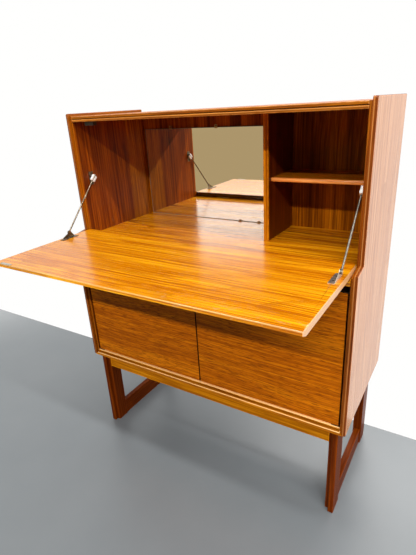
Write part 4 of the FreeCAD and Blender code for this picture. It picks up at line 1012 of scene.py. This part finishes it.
def stored(name, kind):
    """Read a value that every point carries."""
    node = step("GeometryNodeInputNamedAttribute", {"data_type": kind}, {"Name": name}).node
    return next(socket for socket in node.outputs if socket.enabled)


given = step("NodeGroupInput", {}, {}).node.outputs
cone = step("GeometryNodeMeshCone", {"fill_type": "NGON"}, {
    "Vertices": HEAD_SIDES, "Depth": given["Head Depth"],
    "Radius Top": given["Head Radius"], "Radius Bottom": given["Shank Radius"]})
head = step("GeometryNodeTransform", {}, {
    "Geometry": cone, "Translation": step("ShaderNodeCombineXYZ", {}, {
        "Z": arithmetic("MULTIPLY", given["Head Depth"], -1.0)})})
saw = step("GeometryNodeMeshCube", {}, {"Size": step("ShaderNodeCombineXYZ", {}, {
    "X": arithmetic("MULTIPLY", given["Head Radius"], SAW_LONG), "Y": given["Slot Width"],
    "Z": arithmetic("MULTIPLY", given["Slot Depth"], SAW_TALL)})})
slotted = step("GeometryNodeMeshBoolean", {"operation": "DIFFERENCE"}, {0: head, 1: saw})
shank = step("GeometryNodeTransform", {}, {
    "Geometry": step("GeometryNodeMeshCylinder", {}, {
        "Vertices": SHANK_SIDES, "Radius": given["Shank Radius"], "Depth": 1.0}),
    "Translation": (0.0, 0.0, -0.5)})
turned = step("FunctionNodeRotateRotation", {"rotation_space": "LOCAL"}, {
    "Rotation": step("FunctionNodeAlignRotationToVector", {"axis": "Z"}, {
        "Vector": stored("outward", "FLOAT_VECTOR")}),
    "Rotate By": step("FunctionNodeEulerToRotation", {}, {
        "Euler": step("ShaderNodeCombineXYZ", {}, {"Z": stored("turn", "FLOAT")})})})
heads = step("GeometryNodeInstanceOnPoints", {}, {
    "Points": given["Geometry"], "Instance": slotted, "Rotation": turned})
sunk = step("GeometryNodeSetPosition", {}, {
    "Geometry": given["Geometry"],
    "Offset": step("ShaderNodeVectorMath", {"operation": "SCALE"}, {
        0: stored("outward", "FLOAT_VECTOR"),
        "Scale": arithmetic("MULTIPLY", given["Head Depth"], -SHANK_SINK)})})
shanks = step("GeometryNodeInstanceOnPoints", {}, {
    "Points": sunk, "Instance": shank, "Rotation": turned,
    "Scale": step("ShaderNodeCombineXYZ", {}, {"X": 1.0, "Y": 1.0, "Z": arithmetic(
        "SUBTRACT", stored("long", "FLOAT"), given["Head Depth"])})})
joined = step("GeometryNodeJoinGeometry", {}, {})
for part in (heads, shanks):
    screw_tree.links.new(part, joined.node.inputs[0])
real = step("GeometryNodeRealizeInstances", {}, {"Geometry": joined})
finished = step("GeometryNodeSetMaterial", {}, {"Geometry": real, "Material": given["Material"]})
step("NodeGroupOutput", {}, {"Geometry": finished})
print("nodes in the screw tree:", len(screw_tree.nodes))

# %% [markdown]
# The tree's result is kept as one plain mesh for each of the two nodes of screws, so that the
# screws of the flap move with it. Chance turns every slot another way.


# %% Set the screws
def set_screws(node, places, body, finish, seed):
    """Drive slotted screws where a node's solids are, as one plain mesh that rides a body."""
    chance = random.Random(seed)
    points = bpy.data.meshes.new(f"{node}_points")
    points.from_pydata([place for place, _, _ in places], [], [])
    outward = points.attributes.new("outward", "FLOAT_VECTOR", "POINT")
    outward.data.foreach_set("vector", [part for _, inward, _ in places for part in -inward])
    points.attributes.new("long", "FLOAT", "POINT").data.foreach_set(
        "value", [long for _, _, long in places])
    points.attributes.new("turn", "FLOAT", "POINT").data.foreach_set(
        "value", [chance.uniform(0, math.pi) for _ in places])
    maker = bpy.data.objects.new(f"{node}_maker", points)
    bpy.context.scene.collection.objects.link(maker)
    modifier = maker.modifiers.new("screws", "NODES")
    modifier.node_group = screw_tree
    values = {**SCREW_SIZES, "Material": finish.material}
    for item in screw_tree.interface.items_tree:
        if item.in_out == "INPUT" and item.name in values:
            modifier[item.identifier] = values[item.name]
    bpy.context.view_layer.update()
    made = maker.evaluated_get(bpy.context.evaluated_depsgraph_get())
    mesh = bpy.data.meshes.new_from_object(made)
    maker.modifiers.remove(modifier)
    bpy.data.objects.remove(maker)
    return hand_over(mesh, f"{node}_slotted", body, node, finish.material)


screw_steel = metal("screw_steel", (0.035, 0.030, 0.022), (0.11, 0.095, 0.070), 0.38)
for node, places, body, seed in (
        ("case_screws", case_places, "cabinet", 5), ("flap_screws", flap_places, "flap", 11)):
    dress(screw_steel, node)
    piece = set_screws(node, places, body, screw_steel, seed)
    print(node, "->", piece.name, "with", len(piece.data.polygons), "faces")

# %% [markdown]
# ## Mirror
# The mirror is silvered glass. The silver is a metal nearly without tint or roughness. Clear
# glass in front of it would look the same and take longer to render. The ground edge of the plate
# shows as a thin dark green line all round, so there the metal gives way to plain dark glass.

# %% The mirror
SILVER = (0.93, 0.94, 0.92)
GROUND_GLASS = (0.090, 0.110, 0.085)
GROUND_WIDTH = (2.2 * MM, 1.4 * MM)

silver = Finish("mirror_glass")
ground = silver.arris("mirror").between(*GROUND_WIDTH)
haze = silver.noise(silver.stretched(silver.place, (9, 9, 9)), 4.0, 0.6)
silver.feed(
    base_color=silver.blend(ground, SILVER, GROUND_GLASS),
    metallic=1 - ground * 0.9,
    roughness=haze.between(0.5, 0.8) * 0.02 + ground * 0.2 + 0.015)
dress(silver, "mirror")
print("mirror dressed")
